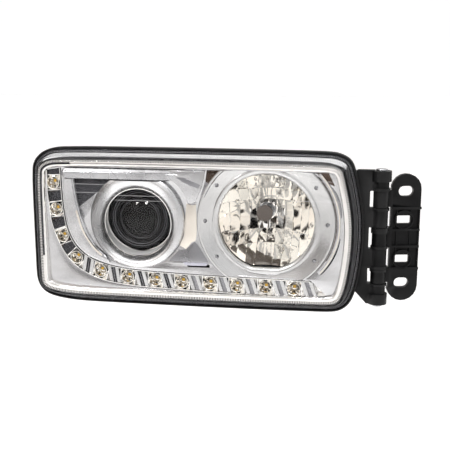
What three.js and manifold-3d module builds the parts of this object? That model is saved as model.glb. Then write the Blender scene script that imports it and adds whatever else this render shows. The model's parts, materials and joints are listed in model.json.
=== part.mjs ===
// Swing-out headlamp of a lorry: a glazed lamp unit that turns on an upright hinge
// carried by a bolt-on bracket. Millimetres, +Z up.
//
// Lamp frame used for all dimensions below: X to the right when facing the lamp,
// Y into the lamp (the lens faces -Y), Z up. The exported group is shifted so that
// its origin is the middle of the bracket's mounting face.
import * as THREE from 'three';
import { mergeVertices } from 'three/addons/utils/BufferGeometryUtils.js';
import { ParametricGeometry } from 'three/addons/geometries/ParametricGeometry.js';
import Module from 'manifold-3d';

const wasm = await Module();
wasm.setup();

// ---------------------------------------------------------------- dimensions
const GAP = 0.35;                 // working gap between neighbouring pieces
const CENTRE = [-58, -14];        // middle of the lamp face (x, z)

// Outer edge of the lamp's black rim (x, z).
const RIM = [
  [-307.3, -101], [-308, -60], [-308, 0], [-307.6, 50], [-306.6, 68.4], [-305.6, 77.2], [-301.4, 86.3],
  [-294.6, 93.9], [-285, 100.1], [-271, 104.6], [-240, 106.4], [-120, 107.2], [20, 107], [110, 106.4],
  [145, 105.6], [158, 104.2], [167.5, 100.9], [173.9, 97.2], [178.6, 92.6], [182.4, 85.2], [189.6, 58],
  [195.4, 28], [198.2, 0], [198, -30], [194.8, -65], [190.2, -92], [186.6, -104], [182.9, -113],
  [177.2, -121], [170, -126.6], [163, -129.6], [152, -131.4], [109, -132.6], [47, -133.8], [-60, -134.8],
  [-160, -135.2], [-232, -135], [-258, -133.2], [-276, -130.4], [-289, -126.4], [-298, -120.4], [-304, -112],
];

const LENS_FACE_Y = 0;            // front of the lens at its shoulder
const LENS_DOME = 6;              // how far the middle of the lens stands forward
const LENS_T = 3;                 // lens wall
const RIM_Y = 27;                 // front of the black rim
const LEDGE_Y = 36;               // ledge that carries the seal and the lens flange
const BACK_Y = 166;               // rear wall of the housing, outside
const WALL = 3;                   // housing wall

const BEZEL_Y0 = 14;              // bezel panel, front
const BEZEL_Y1 = 16.5;            // bezel panel, back
const FRAME_Y0 = 8;               // raised frame of the bezel, front
const FRAME_OUT = 18;             // raised frame: inset of its outer edge from the rim
const FRAME_IN = 26.5;            // raised frame: inset of its inner edge

const LOW = [-136, 0];            // projector axis (x, z)
const HIGH = [57, 2];             // high-beam axis (x, z)
const LOW_RING_R = 73;            // silver ring round the projector, outer radius
const LOW_HOLE_R = 52;            // its opening
const HIGH_RING_R = 101.5;        // cone round the high beam, outer radius
const HIGH_HOLE_R = 70.5;         // its opening
const HIGH_FLAT = -66;            // flat lower edge of the high-beam opening (z)
const HIGH_BULB = [50, 8];         // high-beam bulb axis (x, z), off the middle of its bowl
const PEG_R = 90;                 // circle of the six small pegs round the high beam

// Edges of the J-shaped day-light channel (x, z).
const DRL_OUTER = [
  [-277.6, 72], [-278, 44], [-276, 19], [-273, -7], [-266.5, -28], [-257, -49], [-247, -64], [-234, -76.5],
  [-220, -85], [-204, -92], [-187, -97], [-161, -101], [-130, -103.4], [-67, -105.4], [14, -107], [79, -107.2],
  [152, -107.2],
];
const DRL_INNER = [
  [-255, 75.6], [-254, 36], [-252, 11], [-248, -14], [-240, -34], [-229, -49], [-213, -60.5], [-193, -68.5],
  [-169, -74], [-134, -77.5], [-101, -79], [-57, -80.2], [13, -81.2], [88, -81.8], [124, -82],
];
// Day-light emitters (x, z) and the heading of the channel at each, in degrees.
const LEDS = [
  [-269.5, 54, -87], [-265.5, 12, -84], [-257, -29, -68], [-235, -62.5, -44], [-196.5, -81.5, -14],
  [-154, -88.5, -6], [-111, -91.2, -2], [-69, -92.6, -1], [-27, -93.4, -1], [16, -94.2, 0], [58, -94.8, 0],
  [100, -95.2, 0],
];

const HINGE = [221, 52];          // hinge axis (x, y)
const PIN_R = 4;                  // hinge pin
const BORE_R = 4.09;              // bores that run on it
const LEAF_ANGLE = 13;            // bracket leaf, turned back from the lamp's face, degrees
const LEAF_N0 = 7;                // leaf plate, front face, measured from the hinge axis
const LEAF_N1 = 12;               // leaf plate, mounting face
const SLOT_TOP = [37.9, 47.1];    // oval slots in the leaf (along the leaf, z)
const SLOT_LOW = [36.4, -90.8];

const PIVOT = [-40, 104, 62];     // ball on which the beam carrier is aimed
const LEVEL_BALL = [-40, 104, -76];
const AIM_BALL = [142, 104, 62];
const BALL_R = 6;
const SOCKET_R = 6.6;

const PORT_R = 50;                // rear ports, outer radius
const PORT_BORE = 46.5;
const PORT_Y = 178;               // rear lip of the ports

// ---------------------------------------------------------------- helpers
// Number of flats on a round of nominal count n, always a multiple of four.
const flats = (n) => (n >= 60 ? 40 : n >= 40 ? 24 : n > 12 ? 16 : n);

function solid(geom) {
  let g = geom.index ? geom.clone() : geom.clone();
  for (const k of Object.keys(g.attributes)) if (k !== 'position') g.deleteAttribute(k);
  g = mergeVertices(g, 1e-4);
  const p = g.attributes.position.array;
  const idx = g.index.array;
  const tri = [];
  let vol = 0;
  for (let i = 0; i < idx.length; i += 3) {
    const [a, b, c] = [idx[i], idx[i + 1], idx[i + 2]];
    if (a === b || b === c || a === c) continue;
    tri.push(a, b, c);
    const [ax, ay, az, bx, by, bz, cx, cy, cz] = [
      p[3 * a], p[3 * a + 1], p[3 * a + 2], p[3 * b], p[3 * b + 1], p[3 * b + 2],
      p[3 * c], p[3 * c + 1], p[3 * c + 2]];
    vol += ax * (by * cz - bz * cy) - ay * (bx * cz - bz * cx) + az * (bx * cy - by * cx);
  }
  if (vol < 0) for (let i = 0; i < tri.length; i += 3) [tri[i + 1], tri[i + 2]] = [tri[i + 2], tri[i + 1]];
  return new wasm.Manifold(new wasm.Mesh({
    numProp: 3, vertProperties: new Float32Array(p), triVerts: new Uint32Array(tri),
  }));
}

function toGeometry(m) {
  const mesh = m.getMesh();
  const g = new THREE.BufferGeometry();
  const n = mesh.numProp;
  const pos = new Float32Array((mesh.vertProperties.length / n) * 3);
  for (let i = 0; i < pos.length / 3; i++) for (let k = 0; k < 3; k++) pos[3 * i + k] = mesh.vertProperties[n * i + k];
  g.setAttribute('position', new THREE.BufferAttribute(pos, 3));
  g.setIndex(new THREE.BufferAttribute(new Uint32Array(mesh.triVerts), 1));
  g.computeVertexNormals();
  return g;
}

const join = (...list) => list.reduce((a, b) => a.add(b));
const cut = (a, ...list) => list.reduce((m, b) => m.subtract(b), a);

// Convex hull, then the hull moved inwards by d (outwards when d is negative).
function hull(points) {
  const pts = [...points].sort((a, b) => a[0] - b[0] || a[1] - b[1]);
  const cross = (o, a, b) => (a[0] - o[0]) * (b[1] - o[1]) - (a[1] - o[1]) * (b[0] - o[0]);
  const half = (list) => {
    const out = [];
    for (const p of list) {
      while (out.length > 1 && cross(out[out.length - 2], out[out.length - 1], p) <= 1e-9) out.pop();
      out.push(p);
    }
    out.pop();
    return out;
  };
  return [...half(pts), ...half([...pts].reverse())];
}
const HULL = hull(RIM);

function insetHull(d) {
  let poly = [[-900, -900], [900, -900], [900, 900], [-900, 900]];
  for (let i = 0; i < HULL.length; i++) {
    const a = HULL[i], b = HULL[(i + 1) % HULL.length];
    const len = Math.hypot(b[0] - a[0], b[1] - a[1]);
    const nx = -(b[1] - a[1]) / len, nz = (b[0] - a[0]) / len;
    const off = a[0] * nx + a[1] * nz + d;
    const next = [];
    for (let k = 0; k < poly.length; k++) {
      const p = poly[k], q = poly[(k + 1) % poly.length];
      const sp = p[0] * nx + p[1] * nz - off, sq = q[0] * nx + q[1] * nz - off;
      if (sp >= 0) next.push(p);
      if ((sp >= 0) !== (sq >= 0)) {
        const t = sp / (sp - sq);
        next.push([p[0] + (q[0] - p[0]) * t, p[1] + (q[1] - p[1]) * t]);
      }
    }
    poly = next;
  }
  return poly;
}

// Fixed set of directions from the middle of the face: the corners get more of them.
const DIRECTIONS = (() => {
  const out = [];
  for (let i = 0; i < HULL.length; i++) {
    const a = HULL[i], b = HULL[(i + 1) % HULL.length];
    const n = Math.max(1, Math.ceil(Math.hypot(b[0] - a[0], b[1] - a[1]) / 130));
    for (let k = 0; k < n; k++) {
      out.push(Math.atan2(a[1] + ((b[1] - a[1]) * k) / n - CENTRE[1], a[0] + ((b[0] - a[0]) * k) / n - CENTRE[0]));
    }
  }
  return out;
})();
const N = DIRECTIONS.length;
const ringCache = new Map();
function ring(d) {
  if (ringCache.has(d)) return ringCache.get(d);
  const poly = insetHull(d);
  const pts = DIRECTIONS.map((t) => {
    const ux = Math.cos(t), uz = Math.sin(t);
    let best = Infinity;
    for (let k = 0; k < poly.length; k++) {
      const p = poly[k], q = poly[(k + 1) % poly.length];
      const ex = q[0] - p[0], ez = q[1] - p[1];
      const den = ux * ez - uz * ex;
      if (Math.abs(den) < 1e-12) continue;
      const rx = p[0] - CENTRE[0], rz = p[1] - CENTRE[1];
      const s = (rx * ez - rz * ex) / den;
      const w = (rx * uz - rz * ux) / den;
      if (s > 0 && w >= -1e-9 && w <= 1 + 1e-9 && s < best) best = s;
    }
    return [CENTRE[0] + ux * best, CENTRE[1] + uz * best];
  });
  ringCache.set(d, pts);
  return pts;
}

// Skin through a list of rows {d: inset, y, s: scale about the middle}. First and last rows
// either coincide (a loop) or are shrunk to a point (s = 0).
function loft(rows) {
  const g = new ParametricGeometry((u, v, target) => {
    const i = Math.round(u * N) % N;
    const r = rows[Math.round(v * (rows.length - 1))];
    const p = ring(r.d)[i];
    const s = r.s ?? 1;
    target.set(CENTRE[0] + (p[0] - CENTRE[0]) * s, r.y, CENTRE[1] + (p[1] - CENTRE[1]) * s);
  }, N, rows.length - 1);
  return solid(g);
}
const loop = (rows) => loft([...rows, rows[0]]);
const slab = (d, y0, y1) => loft([{ d, y: y0, s: 0 }, { d, y: y0 }, { d, y: y1 }, { d, y: y1, s: 0 }]);

// Prism of an x-z outline between two depths.
function prism(points, y0, y1, holes = []) {
  const shape = new THREE.Shape(points.map(([x, z]) => new THREE.Vector2(x, z)));
  for (const h of holes) shape.holes.push(new THREE.Path(h.map(([x, z]) => new THREE.Vector2(x, z))));
  const g = new THREE.ExtrudeGeometry(shape, { depth: y1 - y0, bevelEnabled: false, curveSegments: 16 });
  g.rotateX(Math.PI / 2);
  g.translate(0, y1, 0);
  return solid(g);
}
// Prism of an x-y outline between two heights.
function prismZ(points, z0, z1) {
  const shape = new THREE.Shape(points.map(([x, y]) => new THREE.Vector2(x, y)));
  const g = new THREE.ExtrudeGeometry(shape, { depth: z1 - z0, bevelEnabled: false });
  g.translate(0, 0, z0);
  return solid(g);
}
const circle = (cx, cz, r, n = 48, a0 = 0) =>
  Array.from({ length: flats(n) }, (_, i) => {
    const t = a0 + (i / flats(n)) * 2 * Math.PI;
    return [cx + r * Math.cos(t), cz + r * Math.sin(t)];
  });
function roundedRect(cx, cz, w, h, r, n = 4) {
  const out = [];
  for (const [sx, sz, a] of [[1, 1, 0], [-1, 1, 90], [-1, -1, 180], [1, -1, 270]]) {
    for (let k = 0; k <= n; k++) {
      const t = ((a + (90 * k) / n) * Math.PI) / 180;
      out.push([cx + sx * (w / 2 - r) + r * Math.cos(t), cz + sz * (h / 2 - r) + r * Math.sin(t)]);
    }
  }
  return out;
}
const box = (x0, x1, y0, y1, z0, z1) => {
  const g = new THREE.BoxGeometry(x1 - x0, y1 - y0, z1 - z0);
  g.translate((x0 + x1) / 2, (y0 + y1) / 2, (z0 + z1) / 2);
  return solid(g);
};
// Turned piece about an axis parallel to Y; the profile is (radius, y).
function turned(profile, cx, cz, n = 48) {
  const g = new THREE.LatheGeometry(profile.map(([r, y]) => new THREE.Vector2(Math.max(r, 0), y)), flats(n));
  g.translate(cx, 0, cz);
  return solid(g);
}
const closedTurned = (profile, cx, cz, n) => turned([...profile, profile[0]], cx, cz, n);
const rodY = (cx, cz, r, y0, y1, n = 32) => turned([[0, y0], [r, y0], [r, y1], [0, y1]], cx, cz, n);
function rodZ(cx, cy, r, z0, z1, n = 32, a0 = 0) {
  const g = new THREE.CylinderGeometry(r, r, z1 - z0, flats(n), 1);
  g.rotateX(Math.PI / 2);
  g.rotateZ(a0);
  g.translate(cx, cy, (z0 + z1) / 2);
  return solid(g);
}
function rodX(cy, cz, r, x0, x1, n = 32) {
  const g = new THREE.CylinderGeometry(r, r, x1 - x0, flats(n), 1);
  g.rotateZ(Math.PI / 2);
  g.translate((x0 + x1) / 2, cy, cz);
  return solid(g);
}
const ball = (c, r, n = 12) => {
  const g = new THREE.SphereGeometry(r, n, n / 2);
  g.rotateX(Math.PI / 2);
  g.translate(...c);
  return solid(g);
};

// Moves the points of an open line sideways.
function sideways(line, d) {
  return line.map((p, i) => {
    const a = line[Math.max(0, i - 1)], b = line[Math.min(line.length - 1, i + 1)];
    const l = Math.hypot(b[0] - a[0], b[1] - a[1]);
    return [p[0] - ((b[1] - a[1]) / l) * d, p[1] + ((b[0] - a[0]) / l) * d];
  });
}
// J-shaped outline of the day-light channel, grown by g (shrunk when negative).
function channel(g) {
  const o = sideways(DRL_OUTER, -g);
  const i = sideways(DRL_INNER, g);
  o[0][1] += g; i[0][1] += g;
  o[o.length - 1][0] += 2 * g; i[i.length - 1][0] += 2 * g;
  return [...o, ...i.reverse()];
}

// ---------------------------------------------------------------- materials
const paint = (hex, roughness, metalness, opacity = 1) => new THREE.MeshStandardMaterial({
  color: hex, roughness, metalness, transparent: opacity < 1, opacity,
});
const blackPlastic = paint(0x1c1c1e, 0.55, 0.0);
const satinBlack = paint(0x222224, 0.4, 0.1);
const clear = paint(0xf2f4f6, 0.03, 0.0, 0.28);
const sealFoam = paint(0x0d0d0e, 0.9, 0.0);
const bezelSilver = paint(0xc9c6cb, 0.22, 0.85);
const satinSilver = paint(0xd3d2d8, 0.3, 0.8);
const chrome = paint(0xeeeeee, 0.06, 1.0);
const ringSilver = paint(0xdfe0e6, 0.2, 0.85);
const board = paint(0x1f4d2a, 0.5, 0.0);
const emitter = paint(0xe2c23a, 0.35, 0.0);
const darkGlass = paint(0x5b6268, 0.04, 0.0, 0.55);
const steel = paint(0x9a9da1, 0.35, 1.0);
const brassPin = paint(0xc8a24b, 0.3, 1.0);
const grey = paint(0x55575b, 0.5, 0.2);
const rubber = paint(0x141414, 0.85, 0.0);
const white = paint(0xe9e9e6, 0.5, 0.0);

const lamp = new THREE.Group();
function add(name, manifold, material, tolerance = 0.05) {
  const parts = manifold.decompose ? manifold.decompose() : [manifold];
  if (parts.length > 1) {
    parts.sort((a, b) => b.volume() - a.volume());
    manifold = parts[0];
    if (parts[1].volume() > 0.5) throw new Error(`${name} falls into ${parts.length} bodies (${parts.map((q) => q.volume().toFixed(1))})`);
  }
  const mesh = new THREE.Mesh(toGeometry(manifold.simplify(tolerance)), material);
  mesh.name = name;
  lamp.add(mesh);
  return manifold;
}

// ---------------------------------------------------------------- hinge bracket
// The leaf is drawn along its own direction s from the hinge axis, with n behind it, then turned.
const leafPlace = (m) => m.rotate([0, 0, LEAF_ANGLE]).translate([HINGE[0], HINGE[1], 0]);
{
  const outline = [];
  outline.push([16.8, -97], [16.8, 51]);
  for (let k = 0; k <= 9; k++) {             // upper ear
    const t = ((168 - (168 * k) / 9) * Math.PI) / 180;
    outline.push([38.4 + 22.2 * Math.cos(t), 50 + 22.6 * Math.sin(t)]);
  }
  for (let k = 0; k <= 9; k++) {             // lower ear
    const t = ((0 - (166 * k) / 9) * Math.PI) / 180;
    outline.push([37.6 + 23 * Math.cos(t), -95 + 23.6 * Math.sin(t)]);
  }
  const slotT = roundedRect(SLOT_TOP[0], SLOT_TOP[1], 22, 15, 7.4, 5);
  const slotL = roundedRect(SLOT_LOW[0], SLOT_LOW[1], 22, 15, 7.4, 5);
  const winT = roundedRect(36.9, 4.4, 20, 11.8, 1.2, 1);
  const winL = roundedRect(36.5, -54.9, 20, 11.8, 1.2, 1);
  // thin panel with thick ears above and below it
  let leaf = prism(outline, LEAF_N0 + 1.5, LEAF_N1);
  const ears = prism(outline, LEAF_N0 - 3, LEAF_N1 - 1).subtract(box(0, 80, 0, 20, -67.4, 20.4));
  leaf = leaf.add(ears);
  // ribs across, two thin ribs up the panel and the walls along its edges
  for (const z of [-10.5, -35.5]) leaf = leaf.add(box(17, 60.4, 2.2, LEAF_N0 + 3, z - 1.6, z + 1.6));
  leaf = leaf.add(box(17, 61.6, 2.2, LEAF_N0 + 3, 20.2, 23.8)).add(box(17, 60.8, 2.2, LEAF_N0 + 3, -70.8, -67.2));
  for (const s of [26.6, 46.6]) leaf = leaf.add(box(s - 0.8, s + 0.8, 5, LEAF_N0 + 3, -68, 21));
  leaf = leaf.add(box(16.8, 19.4, 2.2, LEAF_N0 + 3, -68, 21)).add(box(58.4, 60.4, 4.2, LEAF_N0 + 3, -68, 21));
  // round sleeves about the two windows
  for (const [s, z] of [[36.9, 4.4], [36.5, -54.9]]) {
    leaf = leaf.subtract(rodY(s, z, 14.2, 0, LEAF_N0 + 1.5, 40));
    leaf = leaf.add(cut(rodY(s, z, 14.4, 3.2, LEAF_N0 + 2, 40), rodY(s, z, 12.6, 0, LEAF_N0, 40)));
  }
  leaf = cut(leaf, ...[slotT, slotL, winT, winL].map((h) => prism(h, -5, 30)));
  // arms and knuckles of the bracket
  const rows = [[24.2, 48.3], [-36.8, -5.7], [-89.3, -67.4]];
  for (const [z0, z1] of rows) {
    leaf = leaf.add(box(0, 18, 1.5, 11, z0, z1));
    leaf = leaf.add(rodZ(0, 0, 11.2, z0, z1, 32));
  }
  leaf = leaf.add(rodZ(0, 0, 12.8, -13.6, -5.7, 32)).add(rodZ(0, 0, 12.8, -36.8, -33, 32)).add(rodZ(0, 0, 12.8, -71.4, -67.4, 32));
  leaf = leaf.subtract(rodZ(0, 0, BORE_R, -140, 100, 24));
  add('hinge_bracket', leafPlace(leaf), satinBlack, 0.005);

  const pin = join(rodZ(0, 0, PIN_R, -124.2, 79, 24), rodZ(0, 0, 8.2, 78.4, 80.6, 24), rodZ(0, 0, 6.6, -125.6, -122.8, 24));
  add('hinge_pin', pin.translate([HINGE[0], HINGE[1], 0]), steel, 0.005);
}

// ---------------------------------------------------------------- housing
const housingOuter = (g) => loft([
  { d: 40 - g, y: RIM_Y - 30, s: 0 }, { d: 0 - g, y: RIM_Y - 30 }, { d: 0 - g, y: 41 + g }, { d: 5 - g, y: 49 + g },
  { d: 12 - g, y: 112 }, { d: 26 - g, y: 158 + g * 0.6 }, { d: 40 - g, y: BACK_Y + g }, { d: 40 - g, y: BACK_Y + g, s: 0 }]);
let housing = loft([
  { d: 40, y: BACK_Y, s: 0 }, { d: 40, y: BACK_Y }, { d: 26, y: 158 }, { d: 12, y: 112 }, { d: 5, y: 49 },
  { d: 0, y: 41 }, { d: 0, y: RIM_Y }, { d: 3, y: RIM_Y }, { d: 3, y: LEDGE_Y }, { d: 9.4, y: LEDGE_Y },
  { d: 15, y: 111 }, { d: 28.6, y: 155.6 }, { d: 41.4, y: BACK_Y - WALL }, { d: 41.4, y: BACK_Y - WALL, s: 0 }]);
for (const [cx, cz] of [LOW, HIGH]) {
  housing = housing.add(rodY(cx, cz, PORT_R, BACK_Y - WALL, PORT_Y, 48)).subtract(rodY(cx, cz, PORT_BORE, 140, 200, 48));
}
// openings for the aim gear and the plug, and the pads round them
housing = housing.subtract(rodY(LEVEL_BALL[0], LEVEL_BALL[2], 12.4, 140, 200, 32));
housing = housing.add(rodY(AIM_BALL[0], AIM_BALL[2], 13, 158, BACK_Y + 4, 32)).subtract(rodY(AIM_BALL[0], AIM_BALL[2], 9.4, 140, 200, 32));
housing = housing.add(rodY(PIVOT[0], PIVOT[2], 9, 158, BACK_Y, 32)).subtract(rodY(PIVOT[0], PIVOT[2], 4.4, 150, 200, 24));
housing = housing.subtract(rodY(140, -78, 5.4, 140, 200, 24));
// far-side fixing boss with its blind screw hole
housing = housing.add(rodY(-262, 40, 11, 150, BACK_Y + 12, 32)).subtract(rodY(-262, 40, 3.4, 162, 200, 24));
// slot through which the day-light and bulb wiring reaches the plug
housing = housing.subtract(box(-56, -24, 150, 180, -9, 13));
add('housing', housing, blackPlastic);

// ---------------------------------------------------------------- lamp-side hinge leaf
{
  const inflated = (g) => housingOuter(g);
  const hx = HINGE[0], hy = HINGE[1];
  // plate from behind the rim to the barrel, and a cheek that hugs the housing's side wall
  let plate = prism([[172, -103], [172, 72], [188, 79], [211, 79], [211, -121], [205, -121], [188, -103]], hy - 5.5, hy + 5.5);
  const cheek = inflated(4.4).intersect(box(120, 240, hy + 4, 108, -92, 70));
  let leaf = plate.add(cheek).subtract(inflated(0.4));
  for (const z of [66, 44.6, -8, -52, -88]) leaf = leaf.add(cut(box(184, 206, hy - 5.5, 86, z - 2, z + 2), inflated(0.4)));
  const rows = [[48.7, 78], [-5.3, 23.8], [-67, -37.2], [-121, -89.7]];
  // clear the bracket's knuckle rows
  for (const [z0, z1] of [[23.8, 48.7], [-37.2, -5.3], [-89.7, -67]]) {
    leaf = leaf.subtract(box(hx - 15.5, hx + 30, hy - 30, hy + 30, z0, z1));
  }
  for (const [z0, z1] of rows) {
    leaf = leaf.add(box(hx - 17, hx, hy - 5.5, hy + 5.5, z0, z1));
    leaf = leaf.add(rodZ(hx, hy, 11.2, z0, z1, 32));
  }
  leaf = leaf.add(rodZ(hx, hy, 14.4, 62.5, 78, 32)).add(rodZ(hx, hy, 13, 48.7, 53, 32));
  leaf = leaf.add(rodZ(hx, hy, 12.8, 19.8, 23.8, 32)).add(rodZ(hx, hy, 12.8, -67, -62.8, 32));
  leaf = leaf.add(rodZ(hx, hy, 13, -93, -89.7, 32)).add(rodZ(hx, hy, 14.4, -121, -105, 32));
  leaf = leaf.subtract(rodZ(hx, hy, BORE_R, -150, 120, 24));
  const screws = [52, -22, -76];
  const sx = (z, y) => {                        // outer face of the cheek at height z and depth y
    const d = 5 + ((y - 49) / 63) * 7 - 4.4;
    const poly = insetHull(d);
    let best = 0;
    for (let k = 0; k < poly.length; k++) {
      const p = poly[k], q = poly[(k + 1) % poly.length];
      if ((p[1] - z) * (q[1] - z) <= 0 && p[1] !== q[1]) best = Math.max(best, p[0] + ((q[0] - p[0]) * (z - p[1])) / (q[1] - p[1]));
    }
    return best;
  };
  const SY = 96;
  for (const z of screws) leaf = leaf.subtract(rodX(SY, z, 3.4, 160, 240, 20));
  add('lamp_hinge_leaf', leaf, satinBlack, 0.005);
  screws.forEach((z, i) => {
    const x = sx(z, SY);
    const head = rodX(SY, z, 5.6, x + 1.9, x + 5.6, 20);
    const shank = rodX(SY, z, 2.9, x - 5.0, x + 3, 20);
    let s = head.add(shank).subtract(rodX(SY, z, 2.6, x + 3.4, x + 9, 6));
    s = s.subtract(inflated(0.35));
    add(`hinge_leaf_screw_${i + 1}`, s, steel);
  });
}

// ---------------------------------------------------------------- lens and seal
add('lens_seal', loop([{ d: 3.4, y: 32.2 }, { d: 3.4, y: LEDGE_Y - 0.35 }, { d: 9, y: LEDGE_Y - 0.35 }, { d: 9, y: 32.2 }]), sealFoam);
{
  const dome = (s) => -LENS_DOME * (1 - s * s);
  const outer = [0, 0.3, 0.58, 0.82].map((s) => ({ d: 22, s, y: LENS_FACE_Y + 0.4 + dome(s) }));
  const inner = [0.82, 0.58, 0.3, 0].map((s) => ({ d: 22, s, y: LENS_FACE_Y + 0.4 + LENS_T + dome(s) }));
  add('outer_lens', loft([...outer,
    { d: 22, y: LENS_FACE_Y + 0.4 }, { d: 17, y: 1.8 }, { d: 13.8, y: 6 }, { d: 7.2, y: 27.6 }, { d: 3.4, y: 28.4 },
    { d: 3.4, y: 31.8 }, { d: 9, y: 31.8 }, { d: 9.8, y: 28.6 }, { d: 16.2, y: 8 }, { d: 18, y: 5.2 }, { d: 22, y: 3.4 }, ...inner]), clear);
}

// ---------------------------------------------------------------- bezel and trims
// Flat-bottomed circle: the high-beam openings.
const flatCircle = (r, flat, n = 60) => circle(HIGH[0], HIGH[1], r, n).map(([x, z]) => [x, Math.max(z, flat)]);
const highZone = (r) => prism(circle(HIGH[0], HIGH[1], r, 64), -20, 60).intersect(box(-200, 300, -20, 60, -81.2, 77.6));
const lowZone = (r) => prism(circle(LOW[0], LOW[1], r, 56), -20, 60).intersect(box(-400, 100, -20, 60, -72.5, 60));
{
  let bezel = loop([{ d: FRAME_OUT, y: FRAME_Y0 + 1 }, { d: FRAME_OUT + 1, y: FRAME_Y0 }, { d: FRAME_IN - 1, y: FRAME_Y0 }, { d: FRAME_IN, y: FRAME_Y0 + 1 }, { d: FRAME_IN, y: BEZEL_Y1 }, { d: FRAME_OUT, y: BEZEL_Y1 }]);
  bezel = bezel.add(slab(FRAME_OUT + 0.5, BEZEL_Y0, BEZEL_Y1));
  bezel = bezel.subtract(prism(channel(0.6), 0, 40));
  bezel = bezel.subtract(highZone(HIGH_RING_R + 0.4));
  bezel = bezel.subtract(lowZone(LOW_RING_R + 0.4));
  // small recess below the panel between the two beams
  bezel = bezel.subtract(prism(roundedRect(-43, -66.5, 34, 5, 1.5, 2), 0, 40));
  add('bezel', bezel, bezelSilver);

  // bar across the top left, sloping down between the rings
  const bar = prism([[-249, 76.6], [-60, 76.6], [-30, 76.6], [-36, 52], [-44, 34], [-52, 26], [-58, 30], [-64, 44], [-84, 61.4], [-247.6, 61.4]], 7.4, 13.6);
  const ridge = prism([[-249, 70.6], [-56, 70.6], [-52, 67.6], [-248.4, 67.6]], 5.2, 9);
  add('bezel_top_bar', bar.add(ridge).subtract(prism(circle(HIGH[0], HIGH[1], HIGH_RING_R + 3, 64), 0, 20)).subtract(prism(circle(LOW[0], LOW[1], 60, 48), 0, 7)), satinSilver);

  const outer = [[-248.6, 60.6], [-249, 36], [-246, 0], [-235.6, -30], [-219, -49.4], [-201, -59.4], [-179, -66]];
  const inner = [[-186, -55], [-198, -45], [-207, -34], [-217, -17], [-225, 8], [-231, 37], [-234, 60.6]];
  add('drl_inner_blade', prism([...outer, ...inner], 6.5, 13.6), satinSilver);

  // silver ring round the projector
  let pr = closedTurned([[LOW_RING_R, 16.5], [LOW_RING_R, 11], [70, 7.6], [64, 6], [58, 8.4], [54, 14], [LOW_HOLE_R, 22], [LOW_HOLE_R + 2, 22.6], [57, 16.5]], LOW[0], LOW[1], 56);
  pr = pr.intersect(box(-400, 100, -20, 60, -72.1, 59.6)).subtract(prism([...outer, ...inner].map(([x, z]) => [x + (x > -215 ? 0.6 : 0.8), z + 0.5]), 0, 14)).subtract(prism([...outer, ...inner], 0, 14));
  pr = pr.subtract(prism([[-260, 100], [-60, 100], [-20, 100], [-36, 52], [-44, 33.4], [-52, 25.4], [-58.6, 29.4], [-64.6, 43.6], [-84.4, 60.9], [-260, 60.9]], 0, 14.2));
  add('projector_trim_ring', pr, ringSilver);

  // cone round the high-beam reflector, with six small pegs
  let hr = closedTurned([[HIGH_RING_R, 16.5], [HIGH_RING_R, 13], [99, 12.4], [HIGH_HOLE_R + 9, 18.8], [HIGH_HOLE_R + 6.6, 17.6], [HIGH_HOLE_R + 3, 18.2], [HIGH_HOLE_R + 0.6, 20.6], [HIGH_HOLE_R - 8, 21.6], [HIGH_HOLE_R - 8, 24], [HIGH_HOLE_R + 2, 24], [97, 16.5]], HIGH[0], HIGH[1], 64);
  hr = hr.intersect(highZone(HIGH_RING_R + 5).intersect(box(-300, 300, -30, 60, -80.8, 77.2)));
  hr = hr.add(prism(circle(HIGH[0], HIGH[1], HIGH_HOLE_R + 4, 60), 20.9, 23.9).intersect(box(-100, 200, 0, 60, -80.8, -60)));
  hr = hr.subtract(prism(flatCircle(HIGH_HOLE_R, HIGH_FLAT), -20, 60));
  for (const deg of [0, 36.5, 143.5, 180, 216.5, 323.5]) {
    const px = HIGH[0] + PEG_R * Math.cos((deg * Math.PI) / 180), pz = HIGH[1] + PEG_R * Math.sin((deg * Math.PI) / 180);
    const rr = PEG_R;
    const k = 1;
    const yc = 12.4 + ((99 - rr * k) / (99 - HIGH_HOLE_R - 2)) * 8.6;
    hr = hr.add(rodY(HIGH[0] + (px - HIGH[0]) * k, HIGH[1] + (pz - HIGH[1]) * k, 1.9, yc - 3.4, yc + 1.4, 12));
  }
  hr = hr.subtract(prism([[-249, 90], [-20, 90], [-35.6, 52], [-43.6, 33.6], [-52, 25], [-58, 30]], 0, 14));
  add('high_beam_trim_ring', hr, chrome);

  // raised double line right of the high beam
  const arc = [];
  for (let k = 0; k <= 20; k++) { const t = ((44 - (86 * k) / 20) * Math.PI) / 180; arc.push([HIGH[0] + 108.6 * Math.cos(t), HIGH[1] + 108.6 * Math.sin(t)]); }
  for (let k = 20; k >= 0; k--) { const t = ((44 - (86 * k) / 20) * Math.PI) / 180; arc.push([HIGH[0] + 102.4 * Math.cos(t), HIGH[1] + 102.4 * Math.sin(t)]); }
  add('high_beam_arc_trim', prism(arc, 9, BEZEL_Y0 - 0.35), satinSilver);
}

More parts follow.
